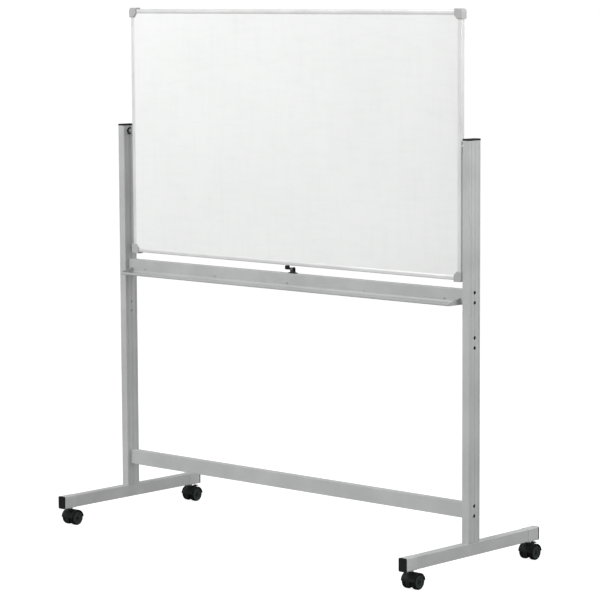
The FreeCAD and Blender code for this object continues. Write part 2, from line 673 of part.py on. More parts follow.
def make_feet():
    """Foot tubes with sleeves, end caps, base plugs and the bolts that hold the uprights."""
    plugs = []
    bolts = []
    for side, sign in SIDES:
        centre = "%d * %s" % (sign, UPRIGHT_CENTRE)
        body = tube("foot_" + side, "XZ_Plane", "(upright_width / 2)", "(foot_height / 2)",
                    "foot_wall", "foot_corner", "foot_length")
        top_holes = new_sketch(body, "XY_Plane", "foot_height / 2 + over")
        low_holes = new_sketch(body, "XY_Plane", "-foot_height / 2 + foot_wall + over")
        for step in (-1, 1):
            circle(top_holes, "0", "%d * foot_bolt_pitch / 2" % step, "foot_bolt_radius + bolt_clearance")
            circle(low_holes, "0", "%d * foot_bolt_pitch / 2" % step, "foot_access_radius")
            circle(low_holes, "0", "%d * %s" % (step, CASTOR_Y), "stem_thread_radius + bolt_clearance")
        pocket(body, top_holes, "foot_wall + 2 * over")
        pocket(body, low_holes, "foot_wall + 2 * over")
        place(body, centre, "0", FOOT_MIDDLE)
        node(body, "foot_" + side)

        sleeves = []
        caps = []
        for end, way in ENDS:
            sleeve = tube("Sleeve_%s_%s" % (side, end), "XZ_Plane", "(upright_width / 2 + sleeve_wall)",
                          "(foot_height / 2 + sleeve_wall)", "sleeve_wall", "foot_corner + sleeve_wall",
                          "sleeve_length")
            hole = new_sketch(sleeve, "XY_Plane", "-foot_height / 2 + over")
            circle(hole, "0", "%d * (sleeve_length / 2 - castor_inset)" % way,
                   "stem_thread_radius + bolt_clearance")
            pocket(sleeve, hole, "sleeve_wall + 2 * over")
            sleeves.append(place(sleeve, centre, "%d * (foot_length - sleeve_length) / 2" % way,
                                 FOOT_MIDDLE))
            caps.append(foot_cap("Cap_%s_%s" % (side, end), centre, way))
        group("foot_sleeves_" + side, sleeves)
        group("foot_caps_" + side, caps)

        base = new_body("BasePlug_" + side)
        plug(base, "XY_Plane", "(upright_width / 2 - upright_wall - plug_gap)",
             "(upright_depth / 2 - upright_wall - plug_gap)", "upright_corner - upright_wall",
             "base_plug_height", "0")
        threads = new_sketch(base, "XY_Plane", "-over")
        for step in (-1, 1):
            y = "%d * foot_bolt_pitch / 2" % step
            circle(threads, "0", y, "foot_bolt_radius")
            bolts.append(screw("foot_bolt_head_radius", "foot_bolt_head_height",
                               "foot_bolt_radius - screw_slack", "foot_wall + foot_bolt_reach", centre, y,
                               "%s - foot_wall" % FOOT_TOP, TO_MINUS_Z))
        pocket(base, threads, "foot_bolt_reach + 2 * over", reverse=True)
        plugs.append(place(base, centre, "0", FOOT_TOP))
    group("base_plugs", plugs)
    group("foot_bolts", bolts)


def foot_cap(name, centre, way):
    """Black end cap: a rounded flange over the tube's end and a plug inside it."""
    body = new_body(name)
    face = new_sketch(body, "XZ_Plane")
    centred(face, "(upright_width / 2 + sleeve_wall)", "(foot_height / 2 + sleeve_wall)")
    pad(body, face, "foot_cap_flange")
    fillet(body, lambda edge: runs_along(edge, Y_AXIS), "foot_corner + sleeve_wall")
    plug(body, "XZ_Plane", "(upright_width / 2 - foot_wall - plug_gap)",
         "(foot_height / 2 - foot_wall - plug_gap)", "foot_corner - foot_wall", "foot_cap_plug",
         "-foot_cap_plug")
    turn = FreeCAD.Rotation() if way < 0 else HALF_TURN
    return place(body, centre, "%d * foot_length / 2" % way, FOOT_MIDDLE, turn)


def make_bars():
    """Two cross bars of one section, each with an end socket that takes the upright's bolts."""
    bolts = []
    length = "2 * (%s - socket_length)" % UPRIGHT_INNER
    for label, bottom in (("lower_bar", LOWER_BAR_BOTTOM), ("upper_rail", UPPER_RAIL_BOTTOM)):
        middle = "%s + bar_height / 2" % bottom
        body = tube(label, "YZ_Plane", "(bar_depth / 2)", "(bar_height / 2)", "bar_wall", "bar_corner",
                    length)
        if label == "upper_rail":
            drill_upper_rail(body)
        place(body, "0", "0", middle)
        node(body, label)
        sockets = []
        for side, sign in SIDES:
            sockets.append(bar_socket("Socket_%s_%s" % (label, side), sign, middle))
            for step in (-1, 1):
                x = "%d * (%s + upright_wall)" % (sign, UPRIGHT_INNER)
                z = "%s + %d * bolt_spacing / 2" % (middle, step)
                bolts.append(screw("bolt_head_radius", "bolt_head_height", "bolt_radius - screw_slack",
                                   "upright_wall + bolt_reach", x, "0", z,
                                   TO_X if sign > 0 else TO_MINUS_X))
        group(label + "_sockets", sockets)
    group("rail_bolts", bolts)


def bar_socket(name, sign, middle):
    """End socket: a solid block against the upright and a spigot inside the bar."""
    body = new_body(name)
    plug(body, "YZ_Plane", "(bar_depth / 2)", "(bar_height / 2)", "bar_corner", "socket_length", "0")
    plug(body, "YZ_Plane", "(bar_depth / 2 - bar_wall - plug_gap)",
         "(bar_height / 2 - bar_wall - plug_gap)", "bar_corner - bar_wall", "spigot_length",
         "-spigot_length")
    threads = new_sketch(body, "YZ_Plane", "socket_length + over")
    for step in (-1, 1):
        circle(threads, "0", "%d * bolt_spacing / 2" % step, "bolt_radius")
    pocket(body, threads, "bolt_reach + 3 * over")
    turn = FreeCAD.Rotation() if sign > 0 else HALF_TURN
    return place(body, "%d * (%s - socket_length)" % (sign, UPRIGHT_INNER), "0", middle, turn)


def tray_screw_places():
    """Places of the tray's screws along X."""
    return ["%d * (board_width - 2 * tray_screw_margin) / 4" % step for step in (-2, -1, 0, 1, 2)]


def latch_screw_places():
    """Places of the latch bracket's two screws along X."""
    return ["latch_pin_x + %d * (latch_base_length / 2 - latch_screw_inset)" % way for way in (-1, 1)]


def drill_upper_rail(body):
    """Holes for the tray's screws in the rail's front, and for the latch's screws in its top."""
    front = new_sketch(body, "XZ_Plane", "bar_depth / 2 + over")
    for x in tray_screw_places():
        circle(front, x, "tray_screw_rise - bar_height / 2", "tray_screw_radius")
    pocket(body, front, "bar_wall + 2 * over")
    top = new_sketch(body, "XY_Plane", "bar_height / 2 + over")
    for x in latch_screw_places():
        circle(top, x, "0", "latch_screw_radius")
    pocket(body, top, "bar_wall + 2 * over")


def make_tray():
    """Pen tray on the rail's front: flange, hollow root, floor and low front lip."""
    length = "board_width - 2 * tray_cap_thickness"
    body = new_body("pen_tray")
    section = new_sketch(body, "YZ_Plane")
    polygon(section, [("0", "0"), ("0", "tray_flange_height"), ("-tray_wall", "tray_flange_height"),
                      ("-tray_wall", "tray_wall"), ("tray_wall - tray_depth", "tray_wall"),
                      ("tray_wall - tray_depth", "tray_lip_height"), ("-tray_depth", "tray_lip_height"),
                      ("-tray_depth", "0")])
    pad(body, section, length, symmetric=True)
    fillet(body, lambda edge: runs_along(edge, X_AXIS) and near(edge.BoundBox.YMin, "-tray_wall")
           and near(edge.BoundBox.ZMax, "tray_wall"), "tray_root_radius")
    fillet(body, lambda edge: runs_along(edge, X_AXIS) and near(edge.BoundBox.YMin, "-tray_depth")
           and near(edge.BoundBox.ZMax, "0"), "tray_nose_radius")
    fillet(body, lambda edge: runs_along(edge, X_AXIS)
           and near(edge.BoundBox.YMin, "tray_wall - tray_depth")
           and near(edge.BoundBox.ZMax, "tray_wall"), "tray_nose_radius - tray_wall")
    holes = new_sketch(body, "XZ_Plane", "tray_wall + over")
    for x in tray_screw_places():
        circle(holes, x, "tray_screw_rise", "tray_screw_radius + screw_slack")
    pocket(body, holes, "tray_wall + 2 * over")
    place(body, "0", RAIL_FRONT, UPPER_RAIL_BOTTOM)
    node(body, "pen_tray")

    caps = []
    for side, sign in SIDES:
        cap = new_body("TrayCap_" + side)
        outline = new_sketch(cap, "YZ_Plane")
        polygon(outline, [("0", "0"), ("0", "tray_flange_height"), ("-3 * tray_wall", "tray_flange_height"),
                          ("4 * tray_wall - tray_depth", "tray_lip_height + tray_wall"),
                          ("-tray_depth", "tray_lip_height"), ("-tray_depth", "0")])
        pad(cap, outline, "tray_cap_thickness", symmetric=True)
        fillet(cap, lambda edge: runs_along(edge, X_AXIS) and near(edge.BoundBox.YMin, "-tray_depth"),
               "tray_nose_radius")
        caps.append(place(cap, "%d * (board_width - tray_cap_thickness) / 2" % sign, RAIL_FRONT,
                          UPPER_RAIL_BOTTOM))
    group("tray_end_caps", caps)

    screws = []
    for x in tray_screw_places():
        screws.append(screw("tray_screw_head_radius", "tray_screw_head_height",
                            "tray_screw_radius - screw_slack", "tray_wall + tray_screw_reach", x,
                            "%s - tray_wall" % RAIL_FRONT, "%s + tray_screw_rise" % UPPER_RAIL_BOTTOM,
                            TO_MINUS_Y))
    group("tray_screws", screws)


# ---------------------------------------------------------------- latch

def make_latch():
    """Clevis bracket on the upper rail; its lever lifts a hook into the frame's keeper slot."""
    half = "(lever_width / 2 + lever_side_gap)"
    plate = box("latch_base_length", "lever_width + 2 * lever_side_gap + 2 * latch_plate", "latch_plate",
                "latch_pin_x", "0", UPPER_RAIL_TOP)
    parts = [plate]
    for way in (-1, 1):
        y = "%d * (%s + latch_plate / 2)" % (way, half)
        parts.append(box("2 * latch_ear_radius", "latch_plate", "rail_gap - latch_pin_drop",
                         "latch_pin_x", y, UPPER_RAIL_TOP))
        parts.append(rod("latch_ear_radius", "latch_plate", "latch_pin_x",
                         "%d * (%s + latch_plate / 2) + latch_plate / 2" % (way, half),
                         LATCH_PIN_HEIGHT, TO_MINUS_Y))
    holes = [rod("latch_pin_radius", "2 * (%s) + 4 * latch_plate" % half, "latch_pin_x",
                 "%s + 2 * latch_plate" % half, LATCH_PIN_HEIGHT, TO_MINUS_Y)]
    for x in latch_screw_places():
        holes.append(rod("latch_screw_radius + screw_slack", "latch_plate + 2 * over", x, "0",
                         UPPER_RAIL_TOP + " - over"))
    node(cut(fuse(*parts), *holes), "latch_bracket")

    pin = rod("latch_pin_radius", "2 * %s + 2 * latch_plate" % half, "latch_pin_x",
              "%s + latch_plate" % half, LATCH_PIN_HEIGHT, TO_MINUS_Y)
    node(pin, "latch_pin")

    screws = []
    for x in latch_screw_places():
        screws.append(screw("latch_screw_head_radius", "latch_screw_head_height",
                            "latch_screw_radius - screw_slack", "latch_plate + latch_screw_reach", x, "0",
                            UPPER_RAIL_TOP + " + latch_plate", FreeCAD.Rotation()))
    group("latch_screws", screws)

    lever = new_body("latch_lever")
    side = new_sketch(lever, "XZ_Plane")
    low = "-lever_arm_height / 2"
    hook_top = "latch_pin_drop - hook_gap"
    polygon(side, [("0", low), ("0", "lever_arm_height / 2"),
                   ("hook_length - lever_reach", "lever_arm_height / 2"),
                   ("hook_length - lever_reach", hook_top), ("-lever_reach", hook_top),
                   ("-lever_reach", low)])
    pad(lever, side, "lever_width", symmetric=True)
    fillet(lever, lambda edge: runs_along(edge, Y_AXIS) and near(edge.BoundBox.XMax, "-lever_reach"),
           "hook_round")
    hub = new_sketch(lever, "XZ_Plane")
    circle(hub, "0", "0", "lever_hub_radius")
    pad(lever, hub, "lever_width", symmetric=True)
    bore = new_sketch(lever, "XZ_Plane")
    circle(bore, "0", "0", "latch_pin_radius + latch_pin_gap")
    pocket(lever, bore, "2 * lever_width", symmetric=True)
    place(lever, "latch_pin_x", "0", LATCH_PIN_HEIGHT)
    node(lever, "latch_lever")


# ---------------------------------------------------------------- castors

def castor_wheel(label, x, y, outwards):
    """A wheel revolved about its axle, dished and hubbed on its outer face."""
    body = new_body(label)
    profile = new_sketch(body, "XY_Plane")
    bore = "axle_radius + axle_gap"
    dish = "wheel_radius - wheel_shoulder - wheel_rim"
    polygon(profile, [
        (bore, "0"),
        ("wheel_radius - wheel_shoulder", "0"),
        ("wheel_radius - wheel_shoulder_cut", "wheel_shoulder_cut"),
        ("wheel_radius", "wheel_shoulder"),
        ("wheel_radius", "wheel_width - wheel_shoulder"),
        ("wheel_radius - wheel_shoulder_cut", "wheel_width - wheel_shoulder_cut"),
        ("wheel_radius - wheel_shoulder", "wheel_width"),
        (dish + " + wheel_dish_slant", "wheel_width"),
        (dish, "wheel_width - wheel_dish_depth"),
        ("wheel_hub_radius + wheel_dish_slant", "wheel_width - wheel_dish_depth"),
        ("wheel_hub_radius", "wheel_width - hub_inset"),
        ("0", "wheel_width - hub_inset"),
        ("0", "wheel_width - axle_end_gap + axle_play"),
        (bore, "wheel_width - axle_end_gap + axle_play"),
    ])
    revolve(body, profile, "V_Axis")
    # the profile's axis (local Y) turns onto +X or -X
    turn = FreeCAD.Rotation(Z_AXIS, -90 * outwards)
    place(body, x, y, "wheel_radius", turn)
    return node(body, label)


def castor_hood(label, x, y, braked):
    """Hood over both wheels with a web between them and a boss round the swivel pin."""
    half_span = "(wheel_inner_gap / 2 + wheel_width)"
    half_web = "(hood_web_width / 2)"
    below = "-" + HOOD_RADIUS
    block_width = "2 * (%s + over)" % HOOD_RADIUS
    shell = cut(rod(HOOD_RADIUS, "2 * " + half_span, "-" + half_span, "castor_trail", "wheel_radius", TO_X),
                rod(HOOD_RADIUS + " - hood_wall", "2 * (%s + over)" % half_span, "-%s - over" % half_span,
                    "castor_trail", "wheel_radius", TO_X),
                box("2 * (%s + over)" % half_span, block_width,
                    HOOD_RADIUS + " + wheel_radius + hood_skirt_rise", "0", "castor_trail", below))
    web = cut(rod(HOOD_RADIUS, "hood_web_width", "-" + half_web, "castor_trail", "wheel_radius", TO_X),
              box("hood_web_width + 2 * over", block_width, HOOD_RADIUS + " + hood_web_bottom", "0",
                  "castor_trail", below))
    boss_base = "wheel_radius + boss_start"
    boss = rod("boss_radius", "%s - (%s)" % (BOSS_TOP, boss_base), "0", "0", boss_base)
    bore_length = "(stem_pin_length + over)"
    tools = [rod("stem_pin_radius + stem_pin_gap", bore_length, "0", "0",
                 "%s + over / 2 - %s" % (BOSS_TOP, bore_length)),
             rod("axle_radius", "hood_web_width + 2 * over", "-%s - over" % half_web, "castor_trail",
                 "wheel_radius", TO_X)]
    if braked:
        slot_floor = BRAKE_PIN_HEIGHT + " - brake_hub_radius - brake_hub_gap"
        slot_start = "castor_trail + brake_pin_out - brake_hub_radius - brake_hub_gap"
        slot_length = "(%s + over)" % HOOD_RADIUS
        tools.append(box("brake_tongue_width + 2 * brake_slot_gap", slot_length, "2 * " + HOOD_RADIUS, "0",
                         "%s + %s / 2" % (slot_start, slot_length), slot_floor))
        tools.append(rod("brake_pin_radius", "hood_web_width + 2 * over", "-%s - over" % half_web,
                         "castor_trail + brake_pin_out", BRAKE_PIN_HEIGHT, TO_X))
    hood = cut(fuse(shell, web, boss), *tools)
    return node(place(hood, x, y), label)


def brake_lever(label, x, y):
    """Rocking pedal: hub and tongue in the hood's slot, pedal plate above the hood."""
    hub = rod("brake_hub_radius", "brake_tongue_width", "-brake_tongue_width / 2", "0", "0", TO_X)
    tongue = box("brake_tongue_width", "brake_tongue_length", "brake_pad_bottom + 2 * over", "0",
                 "brake_tongue_length / 2", "-over")
    pad_length = "(brake_pad_end - brake_pad_start)"
    pedal = box("brake_pad_width", pad_length, "brake_pad_thickness", "0",
                "(brake_pad_end + brake_pad_start) / 2", "brake_pad_bottom")
    bore = rod("brake_pin_radius + brake_pin_gap", "brake_tongue_width + 2 * over",
               "-brake_tongue_width / 2 - over", "0", "0", TO_X)
    lever = cut(fuse(hub, tongue, pedal), bore)
    place(lever, x, "%s + castor_trail + brake_pin_out" % y, BRAKE_PIN_HEIGHT)
    return node(lever, label)


def castor_stem(x, y):
    """Threaded stem with its collar under the foot and the swivel pin below."""
    collar_base = "%s - stem_collar_height" % SLEEVE_BOTTOM
    thread = "foot_wall + sleeve_wall + stem_nut_height + stem_thread_end"
    stem = fuse(rod("stem_pin_radius", "stem_pin_length + over", z="-stem_pin_length"),
                rod("stem_collar_radius", "stem_collar_height"),
                rod("stem_thread_radius", "stem_collar_height + " + thread))
    return place(stem, x, y, collar_base)


def stem_nut(x, y):
    nut = cut(hexagon("stem_nut_radius", "stem_nut_height"),
              rod("stem_thread_radius", "stem_nut_height + 2 * over", z="-over"))
    return place(nut, x, y, "%s + sleeve_wall + foot_wall" % SLEEVE_BOTTOM)


def make_castors():
    """Four twin-wheel castors that trail to the rear; the two rear ones have a brake."""
    stems = []
    nuts = []
    for end, way in ENDS:
        for side, sign in SIDES:
            corner = "%s_%s" % (end, side)
            x = "%d * %s" % (sign, UPRIGHT_CENTRE)
            y = "%d * %s" % (way, CASTOR_Y)
            braked = end == "rear"
            stems.append(castor_stem(x, y))
            nuts.append(stem_nut(x, y))
            castor_hood("castor_hood_" + corner, x, y, braked)
            axle_half = "(wheel_inner_gap / 2 + wheel_width - axle_end_gap)"
            pins = [rod("axle_radius", "2 * " + axle_half, "%s - %s" % (x, axle_half),
                        "%s + castor_trail" % y, "wheel_radius", TO_X)]
            if braked:
                pins.append(rod("brake_pin_radius", "hood_web_width", "%s - hood_web_width / 2" % x,
                                "%s + castor_trail + brake_pin_out" % y, BRAKE_PIN_HEIGHT, TO_X))
                brake_lever("brake_lever_" + corner, x, y)
            group("castor_axle_" + corner, pins)
            for name, outwards in (("inner", -sign), ("outer", sign)):
                castor_wheel("wheel_%s_%s" % (name, corner),
                             "%s + %d * wheel_inner_gap / 2" % (x, outwards),
                             "%s + castor_trail" % y, outwards)
    group("castor_stems", stems)
    group("castor_nuts", nuts)


# ---------------------------------------------------------------- build, check, write

make_frame()
make_panel()
make_corner_caps()
make_pivots()
make_uprights()
make_feet()
make_bars()
make_tray()
make_latch()
make_castors()
document.recompute()

for item in document.Objects:
    if "Invalid" in item.State or "Error" in item.State:
        raise RuntimeError("%s did not build: %s" % (item.Label, item.State))

os.makedirs("parts", exist_ok=True)
for piece in NODES:
    shape = piece.Shape
    if shape.isNull() or not shape.isValid() or not shape.Solids:
        raise RuntimeError("%s has no valid solid" % piece.Label)
    shape.exportStep("parts/%s.step" % piece.Label)
print("%d nodes written" % len(NODES))
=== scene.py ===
"""Visual model of a rolling, double-sided whiteboard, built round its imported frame."""

import logging
import math
from collections.abc import Callable, Iterable, Sequence
from dataclasses import dataclass, field, replace
from enum import Enum

import bmesh
import bpy
from mathutils import Matrix, Vector


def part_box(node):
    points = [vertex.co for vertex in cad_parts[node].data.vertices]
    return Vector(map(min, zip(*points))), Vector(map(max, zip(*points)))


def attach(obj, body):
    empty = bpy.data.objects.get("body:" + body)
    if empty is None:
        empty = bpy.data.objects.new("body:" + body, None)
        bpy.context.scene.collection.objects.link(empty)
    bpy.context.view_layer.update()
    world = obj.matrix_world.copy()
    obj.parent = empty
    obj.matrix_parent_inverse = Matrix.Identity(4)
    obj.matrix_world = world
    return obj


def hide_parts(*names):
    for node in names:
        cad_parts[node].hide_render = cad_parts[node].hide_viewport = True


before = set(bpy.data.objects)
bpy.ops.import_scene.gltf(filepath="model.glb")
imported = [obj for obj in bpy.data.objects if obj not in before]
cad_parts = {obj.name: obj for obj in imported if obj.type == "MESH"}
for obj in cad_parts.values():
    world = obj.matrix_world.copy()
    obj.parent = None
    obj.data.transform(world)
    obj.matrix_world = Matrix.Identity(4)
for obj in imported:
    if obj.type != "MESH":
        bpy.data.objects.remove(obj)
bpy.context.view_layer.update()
LOG = logging.getLogger("whiteboard")

Colour = tuple[float, float, float]
MM = 0.001
SMOOTH_ANGLE = math.radians(32)
WELD = 1e-6
ROUNDING_STEPS = 5


class Axis(Enum):
    """A direction along which a member was drawn, turned or swept."""

    X = 0
    Y = 1
    Z = 2

    def vector(self, sign: float = 1.0) -> Vector:
        """Unit vector along the axis, reversed when sign is negative."""
        return Vector([sign if index == self.value else 0.0 for index in range(3)])

    def scale(self, along: float, across: float) -> Vector:
        """Scale with one value along the axis and another across it."""
        return Vector([along if index == self.value else across for index in range(3)])


class Side(Enum):
    """Which side of the whiteboard a part is on, seen from the front."""

    LEFT = "left"
    RIGHT = "right"

    @property
    def sign(self) -> int:
        """Sign of the X coordinate on this side."""
        return -1 if self is Side.LEFT else 1


# ---------------------------------------------------------------- node trees


class Graph:
    """Places nodes in one node tree and joins them."""

    def __init__(self, tree: bpy.types.NodeTree) -> None:
        """Takes the tree that the nodes go into."""
        self.tree = tree

    def feed(self, socket: bpy.types.NodeSocket, value: object) -> None:
        """Joins a socket to another one, or sets its value.

        Args:
            socket: Input that is joined or set.
            value: Another node's output, or a plain value.
        """
        if isinstance(value, bpy.types.NodeSocket):
            self.tree.links.new(value, socket)
        else:
            socket.default_value = value

    def add(self, kind: str, inputs: dict | None = None, **settings: object) -> bpy.types.Node:
        """Adds one node.

        Args:
            kind: Blender's name of the node type.
            inputs: Values or sockets for the node's inputs, by name or number.
            settings: Properties of the node.

        Returns:
            The new node.
        """
        node = self.tree.nodes.new(kind)
        for name, value in settings.items():
            setattr(node, name, value)
        for key, value in (inputs or {}).items():
            self.feed(node.inputs[key], value)
        return node

    def maths(self, operation: str, *values: object, clamp: bool = False) -> bpy.types.NodeSocket:
        """Adds a Math node on the values and returns its output."""
        node = self.add("ShaderNodeMath", dict(enumerate(values)), operation=operation)
        node.use_clamp = clamp
        return node.outputs[0]

    def remap(self, value: object, low: float, high: float, to_low: object = 0.0,
              to_high: object = 1.0, smooth: bool = False) -> bpy.types.NodeSocket:
        """Maps a value from one range to another.

        Args:
            value: Value to map.
            low: Start of its range.
            high: End of its range.
            to_low: Result at the start.
            to_high: Result at the end.
            smooth: Whether the result eases in and out.

        Returns:
            The mapped value.
        """
        node = self.add("ShaderNodeMapRange", {"Value": value, "From Min": low, "From Max": high,
                                               "To Min": to_low, "To Max": to_high})
        node.interpolation_type = "SMOOTHSTEP" if smooth else "LINEAR"
        return node.outputs["Result"]

    def blend(self, amount: object, first: object, second: object) -> bpy.types.NodeSocket:
        """Mixes two colours by an amount and returns the colour."""
        node = self.add("ShaderNodeMix", data_type="RGBA")
        colour_inputs = [entry for entry in node.inputs if entry.type == "RGBA"]
        self.feed(node.inputs["Factor"], amount)
        for entry, value in zip(colour_inputs, (first, second)):
            self.feed(entry, value)
        return next(exit_ for exit_ in node.outputs if exit_.type == "RGBA")

    def noise(self, vector: object, scale: object, detail: float = 2.0,
              roughness: float = 0.5) -> bpy.types.NodeSocket:
        """Adds a noise texture and returns its value."""
        node = self.add("ShaderNodeTexNoise", {"Vector": vector, "Scale": scale, "Detail": detail,
                                               "Roughness": roughness})
        return node.outputs["Fac"]

    def stretched(self, vector: object, scale: Vector,
                  turn: Colour = (0.0, 0.0, 0.0)) -> bpy.types.NodeSocket:
        """Scales and turns coordinates with a Mapping node and returns them."""
        node = self.add("ShaderNodeMapping", {"Vector": vector, "Scale": scale, "Rotation": turn})
        return node.outputs["Vector"]


def opaque(colour: Colour, factor: float = 1.0) -> tuple[float, float, float, float]:
    """The colour times a factor, with full alpha."""
    return tuple(min(1.0, part * factor) for part in colour) + (1.0,)


Ports = Sequence[tuple[str, str]]


def open_group(name: str, kind: str, inputs: Ports, outputs: Ports) -> tuple[
        Graph, bpy.types.Node, bpy.types.Node]:
    """Starts a node group with named sockets.

    Args:
        name: Name of the group.
        kind: "ShaderNodeTree" or "GeometryNodeTree".
        inputs: Name and socket type of each input.
        outputs: Name and socket type of each output.

    Returns:
        The group's graph, its input node and its output node.
    """
    tree = bpy.data.node_groups.new(name, kind)
    for direction, ports in (("INPUT", inputs), ("OUTPUT", outputs)):
        for label, socket_type in ports:
            tree.interface.new_socket(label, in_out=direction, socket_type="NodeSocket" + socket_type)
    graph = Graph(tree)
    return graph, graph.add("NodeGroupInput"), graph.add("NodeGroupOutput")


class Effects:
    """The shader groups that several finishes share, each built once."""

    def __init__(self) -> None:
        """Starts with no group built."""
        self.built: dict[str, bpy.types.NodeTree] = {}

    def use(self, graph: Graph, build: Callable[[], bpy.types.NodeTree],
            **values: object) -> bpy.types.NodeSocket:
        """Places a shared group in a material.

        Args:
            graph: Graph of the material.
            build: Method of this class that makes the group.
            values: Values or sockets for the group's inputs, underscores for spaces.

        Returns:
            The group's first output.
        """
        if build.__name__ not in self.built:
            self.built[build.__name__] = build()
        node = graph.add("ShaderNodeGroup", node_tree=self.built[build.__name__])
        for key, value in values.items():
            graph.feed(node.inputs[key.replace("_", " ")], value)
        return node.outputs[0]

    def tone_drift(self) -> bpy.types.NodeTree:
        """Soft clouds of tone, 0 to 1."""
        graph, entry, leave = open_group("Tone drift", "ShaderNodeTree",
                                         [("Vector", "Vector"), ("Scale", "Float")], [("Mask", "Float")])
        cloud = graph.noise(entry.outputs["Vector"], entry.outputs["Scale"], 3.0, 0.55)
        graph.feed(leave.inputs["Mask"], graph.remap(cloud, 0.3, 0.7, smooth=True))
        return graph.tree

    def fine_grain(self) -> bpy.types.NodeTree:
        """Close, rounded pits such as a powder coat or a mould leaves, 0 to 1."""
        graph, entry, leave = open_group("Fine grain", "ShaderNodeTree",
                                         [("Vector", "Vector"), ("Scale", "Float"), ("Pits", "Float")],
                                         [("Height", "Float")])
        speck = graph.noise(entry.outputs["Vector"], entry.outputs["Scale"], 2.0, 0.6)
        cells = graph.add("ShaderNodeTexVoronoi", {"Vector": entry.outputs["Vector"],
                                                   "Scale": entry.outputs["Scale"]}, feature="SMOOTH_F1")
        pits = graph.maths("MULTIPLY", cells.outputs["Distance"], entry.outputs["Pits"])
        graph.feed(leave.inputs["Height"], graph.maths("ADD", speck, pits))
        return graph.tree

    def drawn_lines(self) -> bpy.types.NodeTree:
        """Fine parallel lines that a die leaves along a member, 0 to 1."""
        graph, entry, leave = open_group("Drawn lines", "ShaderNodeTree",
                                         [("Vector", "Vector"), ("Density", "Float")], [("Height", "Float")])
        fine = graph.noise(entry.outputs["Vector"], entry.outputs["Density"], 1.0)
        half = graph.maths("MULTIPLY", entry.outputs["Density"], 0.27)
        broad = graph.noise(entry.outputs["Vector"], half, 1.0)
        graph.feed(leave.inputs["Height"], graph.maths("MULTIPLY", graph.maths("ADD", fine, broad), 0.5))
        return graph.tree

    def rub_marks(self) -> bpy.types.NodeTree:
        """Thin, broken scratches in two directions, 0 to the given amount."""
        graph, entry, leave = open_group("Rub marks", "ShaderNodeTree",
                                         [("Vector", "Vector"), ("Scale", "Float"), ("Amount", "Float")],
                                         [("Mask", "Float")])
        marks = None
        for turn, stretch in (((0.0, 0.5, 0.3), (1.0, 14.0, 14.0)), ((0.2, -0.9, -0.4), (12.0, 1.0, 12.0))):
            laid = graph.stretched(entry.outputs["Vector"], Vector(stretch), turn)
            line = graph.remap(graph.noise(laid, entry.outputs["Scale"], 1.0), 0.70, 0.78)
            marks = line if marks is None else graph.maths("MAXIMUM", marks, line)
        gate = graph.remap(graph.noise(entry.outputs["Vector"], entry.outputs["Scale"]), 0.45, 0.6)
        shown = graph.maths("MULTIPLY", graph.maths("MULTIPLY", marks, gate), entry.outputs["Amount"])
        graph.feed(leave.inputs["Mask"], shown)
        return graph.tree

    def settled_dust(self) -> bpy.types.NodeTree:
        """Dust on what faces up, 0 to the given amount."""
        graph, entry, leave = open_group("Settled dust", "ShaderNodeTree",
                                         [("Vector", "Vector"), ("Amount", "Float")], [("Mask", "Float")])
        normal = graph.add("ShaderNodeSeparateXYZ", {0: graph.add("ShaderNodeTexCoord").outputs["Normal"]})
        upward = graph.remap(normal.outputs["Z"], 0.35, 0.95, smooth=True)
        patches = graph.remap(graph.noise(entry.outputs["Vector"], 90.0, 4.0, 0.65), 0.3, 0.75)
        dust = graph.maths("MULTIPLY", graph.maths("MULTIPLY", upward, patches), entry.outputs["Amount"])
        graph.feed(leave.inputs["Mask"], dust)
        return graph.tree

    def edge_wear(self) -> bpy.types.NodeTree:
        """Wear along sharp edges, 0 to the given amount."""
        graph, entry, leave = open_group("Edge wear", "ShaderNodeTree",
                                         [("Vector", "Vector"), ("Radius", "Float"), ("Amount", "Float")],
                                         [("Mask", "Float")])
        rounded = graph.add("ShaderNodeBevel", {"Radius": entry.outputs["Radius"]}, samples=4)
        flat = graph.add("ShaderNodeNewGeometry")
        likeness = graph.add("ShaderNodeVectorMath", {0: rounded.outputs["Normal"],
                                                      1: flat.outputs["Normal"]}, operation="DOT_PRODUCT")
        edge = graph.remap(likeness.outputs["Value"], 0.97, 0.78)
        broken = graph.remap(graph.noise(entry.outputs["Vector"], 260.0, 3.0, 0.7), 0.4, 0.62)
        worn = graph.maths("MULTIPLY", graph.maths("MULTIPLY", edge, broken), entry.outputs["Amount"])
        graph.feed(leave.inputs["Mask"], worn)
        return graph.tree


EFFECTS = Effects()


# ---------------------------------------------------------------- finishes


